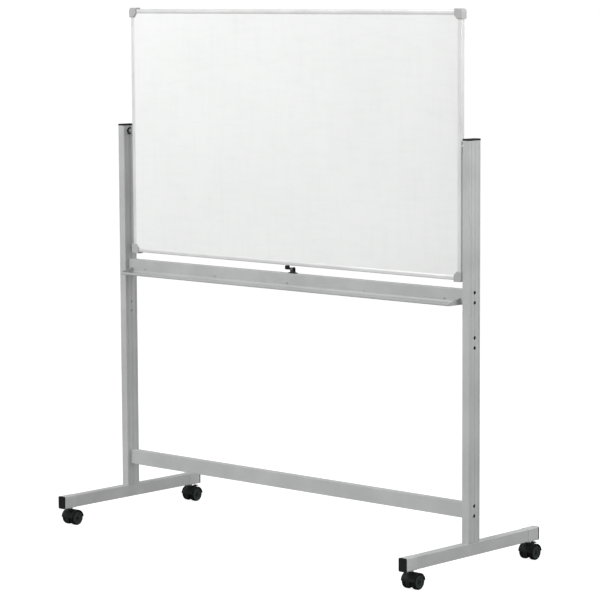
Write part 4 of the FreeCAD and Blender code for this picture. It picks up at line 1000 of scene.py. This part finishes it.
@dataclass
class WritingBoard:
    """The turning board: two enamelled faces in a drawn frame with corner caps, on its pivot shafts.

    Attributes:
        screw: Screws of the shafts' flanges.
        screw_rise: Those screws above and below the pivot.
        screw_side: Those screws before and behind the pivot.
        flat: Half the flat of a frame member's outer face.
        round_depth: Depth of the rounding from that face.
        lip_start: Where the sloping lip starts, from the outer face.
        lip_y: Outside of the lip's free edge, from the middle plane.
        groove_y: Half the panel groove's width.
        groove_depth: Depth of the panel groove.
        round_steps: Steps in that rounding.
        edge: Rounding of the section's sharp corners.
        keeper: Size of a keeper slot for the latch's hook: along X, across Y and deep.
        keeper_gap: Play between the slot's end and the hook.
        keeper_round: Rounding of the slot's corners.
    """

    screw: ScrewKind = field(default_factory=lambda: ScrewKind(3.5 * MM, 2.2 * MM, 1.7 * MM, 1.9 * MM,
                                                              6 * MM))
    screw_rise: float = 14 * MM
    screw_side: float = 4.5 * MM
    flat: float = 5.5 * MM
    round_depth: float = 4 * MM
    lip_start: float = 11 * MM
    lip_y: float = 7.9 * MM
    groove_y: float = 7.55 * MM
    groove_depth: float = 4.5 * MM
    round_steps: int = 7
    edge: float = 0.25 * MM
    keeper: tuple[float, float, float] = (23 * MM, 12 * MM, 10.6 * MM)
    keeper_gap: float = 2 * MM
    keeper_round: float = 0.3 * MM

    def build(self) -> None:
        """Dresses the board's nodes and builds its frame and its pivot screws."""
        dress(ENAMEL, "front_writing_sheet", "rear_writing_sheet")
        dress(CORE_BOARD, "core_panel")
        dress(CAP_GREY, *("corner_cap_%s_%s" % (level, side.value) for level in ("bottom", "top")
                          for side in Side))
        dress(ZINC, "pivot_shaft_left", "pivot_shaft_right", "pivot_nuts")
        dress(BLACK_PLASTIC, "pivot_bushes")
        for node, way in (("frame_rail_bottom", 1), ("frame_rail_top", -1)):
            self.rail(node, way)
        for side in Side:
            self.stile("frame_stile_" + side.value, side)
        self.pivot_screws()

    def section(self, half: float, reach: float) -> list[tuple[float, float]]:
        """Outline of a frame member: rounded outside, a sloping lip and the panel groove inside.

        Args:
            half: Half the member's thickness.
            reach: Width of the member's face.

        Returns:
            Points in (Y, Z) with the outer face at Z = 0, anticlockwise seen from +X.
        """
        steps = self.round_steps
        right = [(self.flat + (half - self.flat) * math.sin(step / steps * math.pi / 2),
                  self.round_depth * (1 - math.cos(step / steps * math.pi / 2))) for step in range(steps + 1)]
        right += [(half, self.lip_start), (self.lip_y, reach), (self.groove_y, reach),
                  (self.groove_y, reach - self.groove_depth)]
        return right + [(-across, up) for across, up in reversed(right)]

    def rail(self, node: str, way: int) -> None:
        """Builds the top or bottom member with its keeper slot.

        Args:
            node: Node that it stands for.
            way: 1 for the bottom member, whose outer face is its lower one, and -1 for the top member.
        """
        low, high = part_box(node)
        mesh = RULE.sweep(self.section((high.y - low.y) / 2, high.z - low.z), high.x - low.x, self.edge,
                          ALUMINIUM[Axis.X])
        outer = low.z if way > 0 else high.z
        turn = Matrix.Rotation(0.0 if way > 0 else math.pi, 4, "X")
        mesh.transform(Matrix.Translation((0.0, 0.0, outer)) @ turn)
        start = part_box("latch_lever")[0].x - self.keeper_gap
        along, across, deep = self.keeper
        under, over = sorted((outer - way * MM, outer + way * deep))
        slot_block = block((start, -across / 2, under), (start + along, across / 2, over), self.keeper_round)
        finished(node.replace("frame_", "frame_profile_"), combined(mesh, "DIFFERENCE", slot_block), "board",
                 [node], ALUMINIUM[Axis.X])

    def stile(self, node: str, side: Side) -> None:
        """Builds the member at one side.

        Args:
            node: Node that it stands for.
            side: Side of the board.
        """
        low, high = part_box(node)
        mesh = RULE.sweep(self.section((high.y - low.y) / 2, high.x - low.x), high.z - low.z, self.edge,
                          ALUMINIUM[Axis.Z])
        outer = high.x if side is Side.RIGHT else low.x
        upright = Matrix.Rotation(-side.sign * math.pi / 2, 4, "Y")
        mesh.transform(Matrix.Translation((outer, 0.0, (low.z + high.z) / 2)) @ upright)
        finished(node.replace("frame_", "frame_profile_"), mesh, "board", [node])

    def pivot_screws(self) -> None:
        """Builds the four screws in each shaft's flange."""
        low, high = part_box("pivot_screws")
        height = (low.z + high.z) / 2
        meshes = []
        for side in Side:
            seat = high.x - self.screw.head_height
            places = [Vector((side.sign * seat, across * self.screw_side, height + rise * self.screw_rise))
                      for across in (-1, 1) for rise in (-1, 1)]
            meshes.append(self.screw.at(places, Axis.X.vector(side.sign)))
        finished("pivot_flange_screws", merged(meshes), "board", ["pivot_screws"])


@dataclass
class Stand:
    """Uprights, feet and cross bars with their caps and bolts.

    Attributes:
        bolt: Bolts of the cross bars.
        bolt_spacing: Distance between the two bolts of a joint.
    """

    bolt: ScrewKind = field(default_factory=lambda: ScrewKind(5.6 * MM, 6 * MM, 3 * MM, 2.9 * MM, 18 * MM))
    bolt_spacing: float = 34 * MM

    def build(self) -> None:
        """Dresses the stand's nodes and builds the bars' bolts."""
        sides = [side.value for side in Side]
        dress(SILVER[Axis.Z], *("upright_" + side for side in sides))
        dress(SILVER[Axis.Y], *("foot_" + side for side in sides))
        dress(SILVER[Axis.X], "lower_bar", "upper_rail", "lower_bar_sockets", "upper_rail_sockets")
        dress(SLEEVE_SILVER, *("foot_sleeves_" + side for side in sides))
        dress(BLACK_PLASTIC, "base_plugs", *("foot_caps_" + side for side in sides),
              *("upright_cap_" + side for side in sides))
        dress(ZINC, "foot_bolts", "castor_stems", "castor_nuts")
        self.bar_bolts()

    def bar_bolts(self) -> None:
        """Builds the bolts that hold both bars, with their heads inside the uprights."""
        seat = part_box("rail_bolts")[1].x - self.bolt.head_height
        meshes = []
        for bar, finish in (("lower_bar", ZINC), ("upper_rail", DARK_BOLT)):
            middle = sum(corner.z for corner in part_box(bar)) / 2
            for side in Side:
                places = [Vector((side.sign * seat, 0, middle + way * self.bolt_spacing / 2))
                          for way in (-1, 1)]
                meshes.append(replace(self.bolt, finish=finish).at(places, Axis.X.vector(side.sign)))
        finished("bar_bolts", merged(meshes), "stand", ["rail_bolts"])


@dataclass
class PenTray:
    """Pen tray on the upper bar's front: a drawn section, its screws and end caps.

    Attributes:
        wall: Wall of the section.
        lip: Height of the front lip.
        root: Radius of the hollow between floor and flange.
        nose: Radius of the lower front edge.
        edge: Rounding of the free edges.
        bead: Height of the ribs under the pens.
        bead_count: Number of those ribs.
        bead_pitch: Distance between them.
        screw: Screws through the flange.
        screw_count: Number of those screws.
        screw_rise: Height of those screws above the underside.
    """

    wall: float = 2 * MM
    lip: float = 10 * MM
    root: float = 12 * MM
    nose: float = 4 * MM
    edge: float = 0.8 * MM
    bead: float = 0.7 * MM
    bead_count: int = 4
    bead_pitch: float = 9 * MM
    screw: ScrewKind = field(default_factory=lambda: ScrewKind(3 * MM, 1.8 * MM, 1.5 * MM, 1.8 * MM, 8 * MM))
    screw_count: int = 5
    screw_rise: float = 18 * MM

    def section(self, low: Vector, high: Vector) -> list[tuple[float, float]]:
        """Outline of the tray across its length.

        Args:
            low: Lowest corner of the tray.
            high: Highest corner of the tray.

        Returns:
            Points in (Y, Z), anticlockwise seen from +X.
        """
        front, back, under, top = low.y, high.y, low.z, high.z
        points = [(back, under), (back, top), (back - self.wall, top)]
        steps = 8
        centre = (back - self.wall - self.root, under + self.wall + self.root)
        for step in range(steps + 1):
            angle = -step / steps * math.pi / 2
            points.append((centre[0] + self.root * math.cos(angle), centre[1] + self.root * math.sin(angle)))
        floor = under + self.wall
        rib_start = centre[0] - self.bead_pitch / 2
        for rib in range(self.bead_count):
            middle = rib_start - rib * self.bead_pitch
            points += [(middle + self.bead, floor), (middle, floor + self.bead), (middle - self.bead, floor)]
        inner = self.nose - self.wall
        for step in range(5):
            angle = -math.pi / 2 - step / 4 * math.pi / 2
            points.append((front + self.nose + inner * math.cos(angle),
                           under + self.nose + inner * math.sin(angle)))
        points += [(front + self.wall, under + self.lip), (front, under + self.lip)]
        for step in range(7):
            angle = math.pi + step / 6 * math.pi / 2
            points.append((front + self.nose + self.nose * math.cos(angle),
                           under + self.nose + self.nose * math.sin(angle)))
        return points

    def build(self) -> None:
        """Builds the tray and its screws and dresses its end caps."""
        low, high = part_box("pen_tray")
        outline = self.section(low, high)
        mesh = RULE.sweep(outline, high.x - low.x, self.edge, TRAY_METAL)
        finished("tray_extrusion", mesh, "stand", ["pen_tray"])
        screws_low, screws_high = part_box("tray_screws")
        reach = screws_high.x - self.screw.head_radius
        seat = high.y - self.wall
        places = [Vector((-reach + 2 * reach * index / (self.screw_count - 1), seat, low.z + self.screw_rise))
                  for index in range(self.screw_count)]
        finished("tray_flange_screws", self.screw.at(places, Axis.Y.vector(-1)), "stand",
                 ["tray_screws"])
        dress(CAP_GREY, "tray_end_caps")


@dataclass
class Latch:
    """Hook that holds the board upright: a bracket, its pin and the lever.

    Attributes:
        hub: Radius of the lever's hub.
        arm: Height of the lever's arm.
        hook: Length of the hook.
        reach: Pin to the outer end of the hook.
        bore: Radius of the lever's bore.
        rounding: Rounding of the lever's edges.
        screw: Screws of the bracket.
        screw_inset: End of the bracket's plate to a screw.
        plate: Thickness of that plate.
    """

    hub: float = 5 * MM
    arm: float = 7 * MM
    hook: float = 15 * MM
    reach: float = 34 * MM
    bore: float = 2.6 * MM
    rounding: float = 0.8 * MM
    screw: ScrewKind = field(default_factory=lambda: ScrewKind(3.2 * MM, 2 * MM, 1.6 * MM, 1.8 * MM, 9 * MM,
                                                              DARK_BOLT))
    screw_inset: float = 4.5 * MM
    plate: float = 2.5 * MM

    def build(self) -> None:
        """Builds the lever and the bracket's screws and dresses the rest."""
        dress(DARK_STEEL, "latch_bracket")
        dress(ZINC, "latch_pin")
        low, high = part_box("latch_lever")
        pin_low, pin_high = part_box("latch_pin")
        pin = (pin_low + pin_high) / 2
        half = (high.y - low.y) / 2
        end = pin.x - self.reach
        inner = end + self.hook
        under, over = pin.z - self.arm / 2, pin.z + self.arm / 2
        outline = [(pin.x, under), (pin.x, over), (inner + 2 * MM, over), (inner, over + 2 * MM),
                   (inner, high.z - 1.2 * MM), (inner - 1.2 * MM, high.z), (end + 2.5 * MM, high.z),
                   (end + 0.7 * MM, high.z - 0.7 * MM), (end, high.z - 2.5 * MM),
                   (end, under + 2 * MM), (end + 0.6 * MM, under + 0.6 * MM), (end + 2 * MM, under)]
        arm = prism(outline, Axis.Y, pin.y - half, pin.y + half, self.rounding)
        hub = self.barrel(pin, half)
        lever = combined(arm, "UNION", hub)
        drill = turned([(-2 * half, 0.0), (-2 * half, self.bore), (2 * half, self.bore), (2 * half, 0.0)],
                       Axis.Y, pin, steps=32)
        lever = combined(lever, "DIFFERENCE", drill)
        finished("latch_hook_lever", lever, "latch", ["latch_lever"], BLACK_PLASTIC)
        base_low, base_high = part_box("latch_bracket")
        places = [Vector((x, pin.y, base_low.z + self.plate))
                  for x in (base_low.x + self.screw_inset, base_high.x - self.screw_inset)]
        finished("latch_bracket_screws", self.screw.at(places, Axis.Z.vector()), "stand",
                 ["latch_screws"])

    def barrel(self, pin: Vector, half: float) -> bpy.types.Mesh:
        """Hub of the lever, with rounded rims.

        Args:
            pin: Middle of the pin.
            half: Half the lever's width.

        Returns:
            The closed mesh.
        """
        rim = self.rounding
        profile = [(-half, 0.0), (-half, self.hub - rim), (-half + 0.3 * rim, self.hub - 0.3 * rim),
                   (-half + rim, self.hub), (half - rim, self.hub), (half - 0.3 * rim, self.hub - 0.3 * rim),
                   (half, self.hub - rim), (half, 0.0)]
        return turned(profile, Axis.Y, pin, steps=40)


@dataclass
class Castor:
    """One twin-wheel castor: hood, axle, two wheels and, at the rear, a brake pedal.

    Attributes:
        end: "front" or "rear".
        side: Side of the stand.
        tread_round: Rounding of the tread's edges.
        rim: Flat ring between the tread's rounding and the dish.
        dish: Depth of the dish.
        hub: Radius of the hub.
        bore: Radius of the wheel's bore.
        ribs: Ribs in the dish.
        wall: Wall of the hood.
        web: Width of the hood's web.
        skirt: Lower edge of the hood's shell above the axle.
        web_bottom: Lower edge of the web above the floor.
        trail: Swivel axis to the axle.
        shoulder: Rounding of the hood's sides.
        boss: Radius of the boss round the swivel pin.
        boss_start: Underside of the boss above the axle.
        pin_hole: Radius of the hole for the swivel pin.
        pin_base: Lower end of that pin above the floor.
        axle_hole: Radius of the hole for the axle.
        slot_half: Half the width of the slot for the brake lever.
        slot_play: Play round the lever in that slot.
        pedal_half: Half the width of the lever's hub.
        pedal_hub: Radius of that hub.
        pedal_bore: Radius of its bore.
        tongue: Reach and rise of the lever's tongue from its pin.
        pad: Reach and rise of the start of the lever's pad from its pin.
        grips: Number of ribs on the pad.
    """

    end: str
    side: Side
    tread_round: float = 5 * MM
    rim: float = 4.2 * MM
    dish: float = 2.5 * MM
    hub: float = 6.5 * MM
    bore: float = 3.05 * MM
    ribs: int = 8
    wall: float = 2 * MM
    web: float = 18 * MM
    skirt: float = 2 * MM
    web_bottom: float = 12 * MM
    trail: float = 12 * MM
    shoulder: float = 1.6 * MM
    boss: float = 9.4 * MM
    boss_start: float = 5 * MM
    pin_hole: float = 4.55 * MM
    pin_base: float = 38 * MM
    axle_hole: float = 3.0 * MM
    slot_half: float = 5.3 * MM
    slot_play: float = 1.2 * MM
    pedal_half: float = 5 * MM
    pedal_hub: float = 4 * MM
    pedal_bore: float = 1.55 * MM
    tongue: tuple[float, float] = (12 * MM, 7 * MM)
    pad: tuple[float, float] = (9 * MM, 5 * MM)
    grips: int = 4

    @property
    def corner(self) -> str:
        """Name of the castor's corner of the stand."""
        return "%s_%s" % (self.end, self.side.value)

    def build(self) -> None:
        """Dresses the castor's axle and builds its wheels, its hood and, at the rear, its pedal."""
        dress(ZINC, "castor_axle_" + self.corner)
        for place in ("inner", "outer"):
            self.wheel(place)
        self.hood()
        if self.end == "rear":
            self.pedal()

    def wheel(self, place: str) -> None:
        """Builds one wheel: rubber tread, dished disc, ribs and hub.

        Args:
            place: "inner" or "outer", counted from the middle of the stand.
        """
        node = "wheel_%s_%s" % (place, self.corner)
        low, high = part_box(node)
        radius, width = (high.z - low.z) / 2, high.x - low.x
        outwards = self.side.sign * (1 if place == "outer" else -1)
        start = Vector((low.x if outwards > 0 else high.x, (low.y + high.y) / 2, (low.z + high.z) / 2))
        round_, steps = self.tread_round, ROUNDING_STEPS
        lip = radius - round_
        arc = [(round_ * (1 - math.cos(step / steps * math.pi / 2)),
                lip + round_ * math.sin(step / steps * math.pi / 2)) for step in range(steps + 1)]
        dish_edge = lip - self.rim
        floor = width - self.dish
        profile = [(width - 1.2 * MM, 0.0), (width - 1.2 * MM, self.bore), (0.4 * MM, self.bore),
                   (0.0, self.bore + 0.4 * MM), (0.0, self.hub), (0.8 * MM, self.hub + 0.8 * MM),
                   (0.8 * MM, lip - 2 * MM), (0.0, lip - 1 * MM)]
        profile += arc
        profile += [(width - along, out) for along, out in reversed(arc)]
        profile += [(width - 0.15 * MM, lip - 0.5 * MM), (width - 0.5 * MM, lip - 0.9 * MM),
                    (width - 0.15 * MM, lip - 1.3 * MM), (width, dish_edge + 0.8 * MM),
                    (width - 0.3 * MM, dish_edge + 0.2 * MM), (floor + 0.3 * MM, dish_edge - 0.6 * MM),
                    (floor, dish_edge - 1.2 * MM), (floor, self.hub + 1.2 * MM),
                    (floor + 0.4 * MM, self.hub + 0.5 * MM), (width - 0.9 * MM, self.hub),
                    (width - 0.5 * MM, self.hub - 0.5 * MM), (width - 0.5 * MM, self.hub - 2.2 * MM),
                    (width - 0.9 * MM, self.hub - 2.8 * MM), (width - 0.9 * MM, 0.0)]
        mesh = turned(profile, Axis.X, start, outwards, steps=64)
        for finish in (DISC_GREY, TREAD, BLACK_PLASTIC):
            mesh.materials.append(PALETTE.get(finish))
        for face in mesh.polygons:
            out = math.hypot(face.center.y - start.y, face.center.z - start.z)
            face.material_index = 1 if out > lip - 0.4 * MM else 2 if out < self.hub + 0.4 * MM else 0
        ribs = RULE.run(RULE.radial_ribs, [Vector()], Count=self.ribs, Inner_Radius=self.hub - 0.3 * MM,
                        Outer_Radius=dish_edge - 0.2 * MM, Rib_Width=1.6 * MM,
                        Rib_Height=2 * (self.dish - 0.9 * MM), Material=PALETTE.get(DISC_GREY))
        to_x = Matrix.Rotation(math.pi / 2, 4, "Y")
        ribs.transform(Matrix.Translation(start + Axis.X.vector(outwards) * floor) @ to_x)
        finished("castor_wheel_%s_%s" % (place, self.corner), merged([mesh, ribs]),
                 "%s_wheel_%s" % (place, self.corner), [node])

    def hood(self) -> None:
        """Builds the hood: a shell over both wheels, the web between them and the swivel boss."""
        node = "castor_hood_" + self.corner
        low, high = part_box(node)
        axle_low, axle_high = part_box("wheel_outer_" + self.corner)
        axle = Vector(((low.x + high.x) / 2, (axle_low.y + axle_high.y) / 2,
                       (axle_low.z + axle_high.z) / 2))
        radius = (high.y - low.y) / 2
        half = (high.x - low.x) / 2
        skirt = math.asin(self.skirt / radius)
        steps, round_ = ROUNDING_STEPS, self.shoulder
        edge = [(half - round_ + round_ * math.sin(step / steps * math.pi / 2),
                 radius - round_ + round_ * math.cos(step / steps * math.pi / 2)) for step in range(steps + 1)]
        section = [(-along, out) for along, out in reversed(edge)] + edge
        section += [(half, radius - self.wall), (-half, radius - self.wall)]
        shell = turned(section, Axis.X, axle, steps=56, arc=(skirt, math.pi - skirt))
        drop = math.asin((self.web_bottom - axle.z) / radius)
        web_radius = radius - 0.25 * MM
        outline = [(axle.y + web_radius * math.cos(drop + (math.pi - 2 * drop) * step / 48),
                    axle.z + web_radius * math.sin(drop + (math.pi - 2 * drop) * step / 48))
                   for step in range(49)]
        web = prism(outline, Axis.X, axle.x - self.web / 2, axle.x + self.web / 2, 1.0 * MM)
        swivel = Vector((axle.x, axle.y - self.trail, 0.0))
        top = high.z
        boss = turned([(axle.z + self.boss_start, 0.0), (axle.z + self.boss_start, self.boss),
                       (top - 0.8 * MM, self.boss),
                       (top - 0.25 * MM, self.boss - 0.25 * MM), (top, self.boss - 0.8 * MM), (top, 0.0)],
                      Axis.Z, swivel, steps=48)
        hood = combined(shell, "UNION", web, boss)
        foot, bore = self.pin_base - 1 * MM, self.pin_hole
        pin_hole = turned([(foot, 0.0), (foot, bore), (top + 1 * MM, bore), (top + 1 * MM, 0.0)],
                          Axis.Z, swivel, steps=32)
        bore = self.axle_hole
        axle_hole = turned([(-self.web, 0.0), (-self.web, bore), (self.web, bore), (self.web, 0.0)],
                           Axis.X, axle, steps=32)
        tools = [pin_hole, axle_hole]
        if self.end == "rear":
            lever_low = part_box("brake_lever_" + self.corner)[0]
            play = self.slot_play
            tools.append(block((axle.x - self.slot_half, lever_low.y - play, lever_low.z - play),
                               (axle.x + self.slot_half, high.y + 10 * MM, high.z + 20 * MM), 0.4 * MM))
        finished("castor_cover_" + self.corner, combined(hood, "DIFFERENCE", *tools),
                 "castor_" + self.corner, [node], BLACK_PLASTIC)

    def pedal(self) -> None:
        """Builds the brake pedal: hub, tongue and a ribbed pad."""
        node = "brake_lever_" + self.corner
        low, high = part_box(node)
        middle = (low.x + high.x) / 2
        pin = Vector((middle, low.y + self.pedal_hub, low.z + self.pedal_hub))
        half, out, bevel = self.pedal_half, self.pedal_hub, 0.4 * MM
        hub = turned([(-half, 0.0), (-half, 3.6 * MM), (-half + bevel, out), (half - bevel, out),
                      (half, 3.6 * MM), (half, 0.0)], Axis.X, pin, steps=36)
        reach, rise = self.tongue
        tongue = block((middle - half, pin.y, pin.z), (middle + half, pin.y + reach, pin.z + rise), 0.8 * MM)
        reach, rise = self.pad
        pad = block((low.x, pin.y + reach, pin.z + rise), (high.x, high.y, high.z - 0.5 * MM), 1.2 * MM, 4)
        bore = turned([(-2 * half, 0.0), (-2 * half, self.pedal_bore), (2 * half, self.pedal_bore),
                       (2 * half, 0.0)], Axis.X, pin, steps=24)
        lever = combined(combined(hub, "UNION", tongue, pad), "DIFFERENCE", bore)
        lever.materials.clear()
        lever.materials.append(PALETTE.get(BLACK_PLASTIC))
        ribs = RULE.run(RULE.grip_ribs, [Vector()], Count=self.grips, Pitch=2.4 * MM, Rib_Radius=0.7 * MM,
                        Rib_Length=high.x - low.x - 3 * MM, Material=PALETTE.get(BLACK_PLASTIC))
        ribs.transform(Matrix.Translation((middle, pin.y + 11.6 * MM, high.z - 0.7 * MM)))
        finished("brake_pedal_" + self.corner, merged([lever, ribs]), "brake_" + self.corner,
                 [node])


@dataclass(frozen=True)
class Panel:
    """A round, soft light.

    Attributes:
        name: Its name.
        place: Where it stands.
        target: Where it points.
        width: Its width, in metres.
        power: Its power, in watts.
    """

    name: str
    place: tuple[float, float, float]
    target: tuple[float, float, float]
    width: float
    power: float


@dataclass
class Studio:
    """Camera, soft light and a plain pale floor.

    Attributes:
        place: Where the camera stands.
        yaw: Its turn to the left, in degrees.
        pitch: How far it looks down, in degrees.
        roll: Its tilt, in degrees.
        lens: Its focal length, in millimetres.
        floor_half: Half the floor's side.
        floor_grey: Grey of the floor as it lights the whiteboard.
        floor_shown: Grey of the floor as it is seen.
        floor_glow: Light that the seen floor adds, so that it stays pale.
        panels: The key light, the fill at the right and the light behind.
        horizon: Brightness of the surroundings at the horizon.
        zenith: Brightness of the surroundings overhead.
    """

    place: tuple[float, float, float] = (6.498, -7.008, 1.971)
    yaw: float = 42.627
    pitch: float = 6.572
    roll: float = -0.283
    lens: float = 162.894
    floor_half: float = 400.0
    floor_grey: float = 0.46
    floor_shown: float = 0.34
    floor_glow: float = 0.88
    panels: tuple[Panel, ...] = (Panel("key", (-1.5, -4.5, 4.5), (0.0, 0.0, 1.3), 2.2, 205.0),
                                 Panel("fill", (2.3, 0.15, 2.3), (0.84, 0.0, 1.1), 0.9, 22.0),
                                 Panel("back", (1.2, 4.6, 3.4), (0.0, 0.0, 1.2), 2.2, 55.0))
    horizon: float = 1.1
    zenith: float = 0.2

    def build(self) -> None:
        """Makes the camera, the lights and the floor."""
        scene = bpy.context.scene
        scene.view_settings.view_transform = "Standard"
        self.camera(scene)
        self.floor(scene)
        self.lights(scene)

    def camera(self, scene: bpy.types.Scene) -> None:
        """Makes the camera and makes it the scene's."""
        yaw, pitch, roll = (math.radians(angle) for angle in (self.yaw, self.pitch, self.roll))
        ahead = Vector((-math.sin(yaw) * math.cos(pitch), math.cos(yaw) * math.cos(pitch), -math.sin(pitch)))
        level = Vector((math.cos(yaw), math.sin(yaw), 0.0))
        upright = level.cross(ahead)
        right = level * math.cos(roll) + upright * math.sin(roll)
        up = upright * math.cos(roll) - level * math.sin(roll)
        turn = Matrix((right, up, -ahead)).transposed()
        lens = bpy.data.cameras.new("camera")
        lens.lens, lens.sensor_width = self.lens, 36.0
        lens.clip_start, lens.clip_end = 0.1, 1000.0
        stand = bpy.data.objects.new("camera", lens)
        stand.matrix_world = Matrix.Translation(self.place) @ turn.to_4x4()
        scene.collection.objects.link(stand)
        scene.camera = stand

    def floor(self, scene: bpy.types.Scene) -> None:
        """Makes the floor, pale and slightly lit from within so that it stays plain."""
        half = self.floor_half
        mesh = bpy.data.meshes.new("floor")
        mesh.from_pydata([(-half, -half, 0), (half, -half, 0), (half, half, 0), (-half, half, 0)], [],
                         [(0, 1, 2, 3)])
        material = bpy.data.materials.new("pale_floor")
        material.use_nodes = True
        material.node_tree.nodes.clear()
        graph = Graph(material.node_tree)
        seen = graph.add("ShaderNodeLightPath").outputs["Is Camera Ray"]
        plain = graph.add("ShaderNodeBsdfDiffuse", {"Color": opaque((self.floor_grey,) * 3)})
        pale = graph.add("ShaderNodeBsdfDiffuse", {"Color": opaque((self.floor_shown,) * 3)})
        glow = graph.add("ShaderNodeEmission", {"Color": (1.0, 1.0, 1.0, 1.0), "Strength": self.floor_glow})
        shown = graph.add("ShaderNodeAddShader", {0: pale.outputs[0], 1: glow.outputs[0]})
        either = graph.add("ShaderNodeMixShader", {0: seen, 1: plain.outputs[0], 2: shown.outputs[0]})
        graph.add("ShaderNodeOutputMaterial", {"Surface": either.outputs[0]})
        mesh.materials.append(material)
        plane = bpy.data.objects.new("floor", mesh)
        scene.collection.objects.link(plane)

    def lights(self, scene: bpy.types.Scene) -> None:
        """Makes the soft lights and pale surroundings."""
        for panel in self.panels:
            light = bpy.data.lights.new(panel.name, "AREA")
            light.shape, light.size, light.energy = "DISK", panel.width, panel.power
            lamp = bpy.data.objects.new(panel.name, light)
            lamp.location = panel.place
            lamp.rotation_mode = "QUATERNION"
            lamp.rotation_quaternion = (Vector(panel.place) - Vector(panel.target)).to_track_quat("Z", "Y")
            lamp.visible_camera = False
            scene.collection.objects.link(lamp)
        world = bpy.data.worlds.new("surroundings")
        scene.world = world
        world.use_nodes = True
        world.node_tree.nodes.clear()
        graph = Graph(world.node_tree)
        way = graph.add("ShaderNodeSeparateXYZ", {0: graph.add("ShaderNodeTexCoord").outputs["Generated"]})
        sky = graph.remap(way.outputs["Z"], 0.0, 0.9, self.horizon, self.zenith)
        seen = graph.add("ShaderNodeLightPath").outputs["Is Camera Ray"]
        strength = graph.maths("MAXIMUM", seen, sky)
        lit = graph.add("ShaderNodeBackground", {"Color": (1.0, 1.0, 1.0, 1.0), "Strength": strength})
        graph.add("ShaderNodeOutputWorld", {"Surface": lit.outputs[0]})


def main() -> None:
    """Builds the whiteboard's sub-assemblies in order."""
    logging.basicConfig(level=logging.INFO, format="%(name)s: %(message)s")
    Studio().build()
    WritingBoard().build()
    Stand().build()
    PenTray().build()
    Latch().build()
    for end in ("front", "rear"):
        for side in Side:
            Castor(end, side).build()


if __name__ == "__main__":
    main()
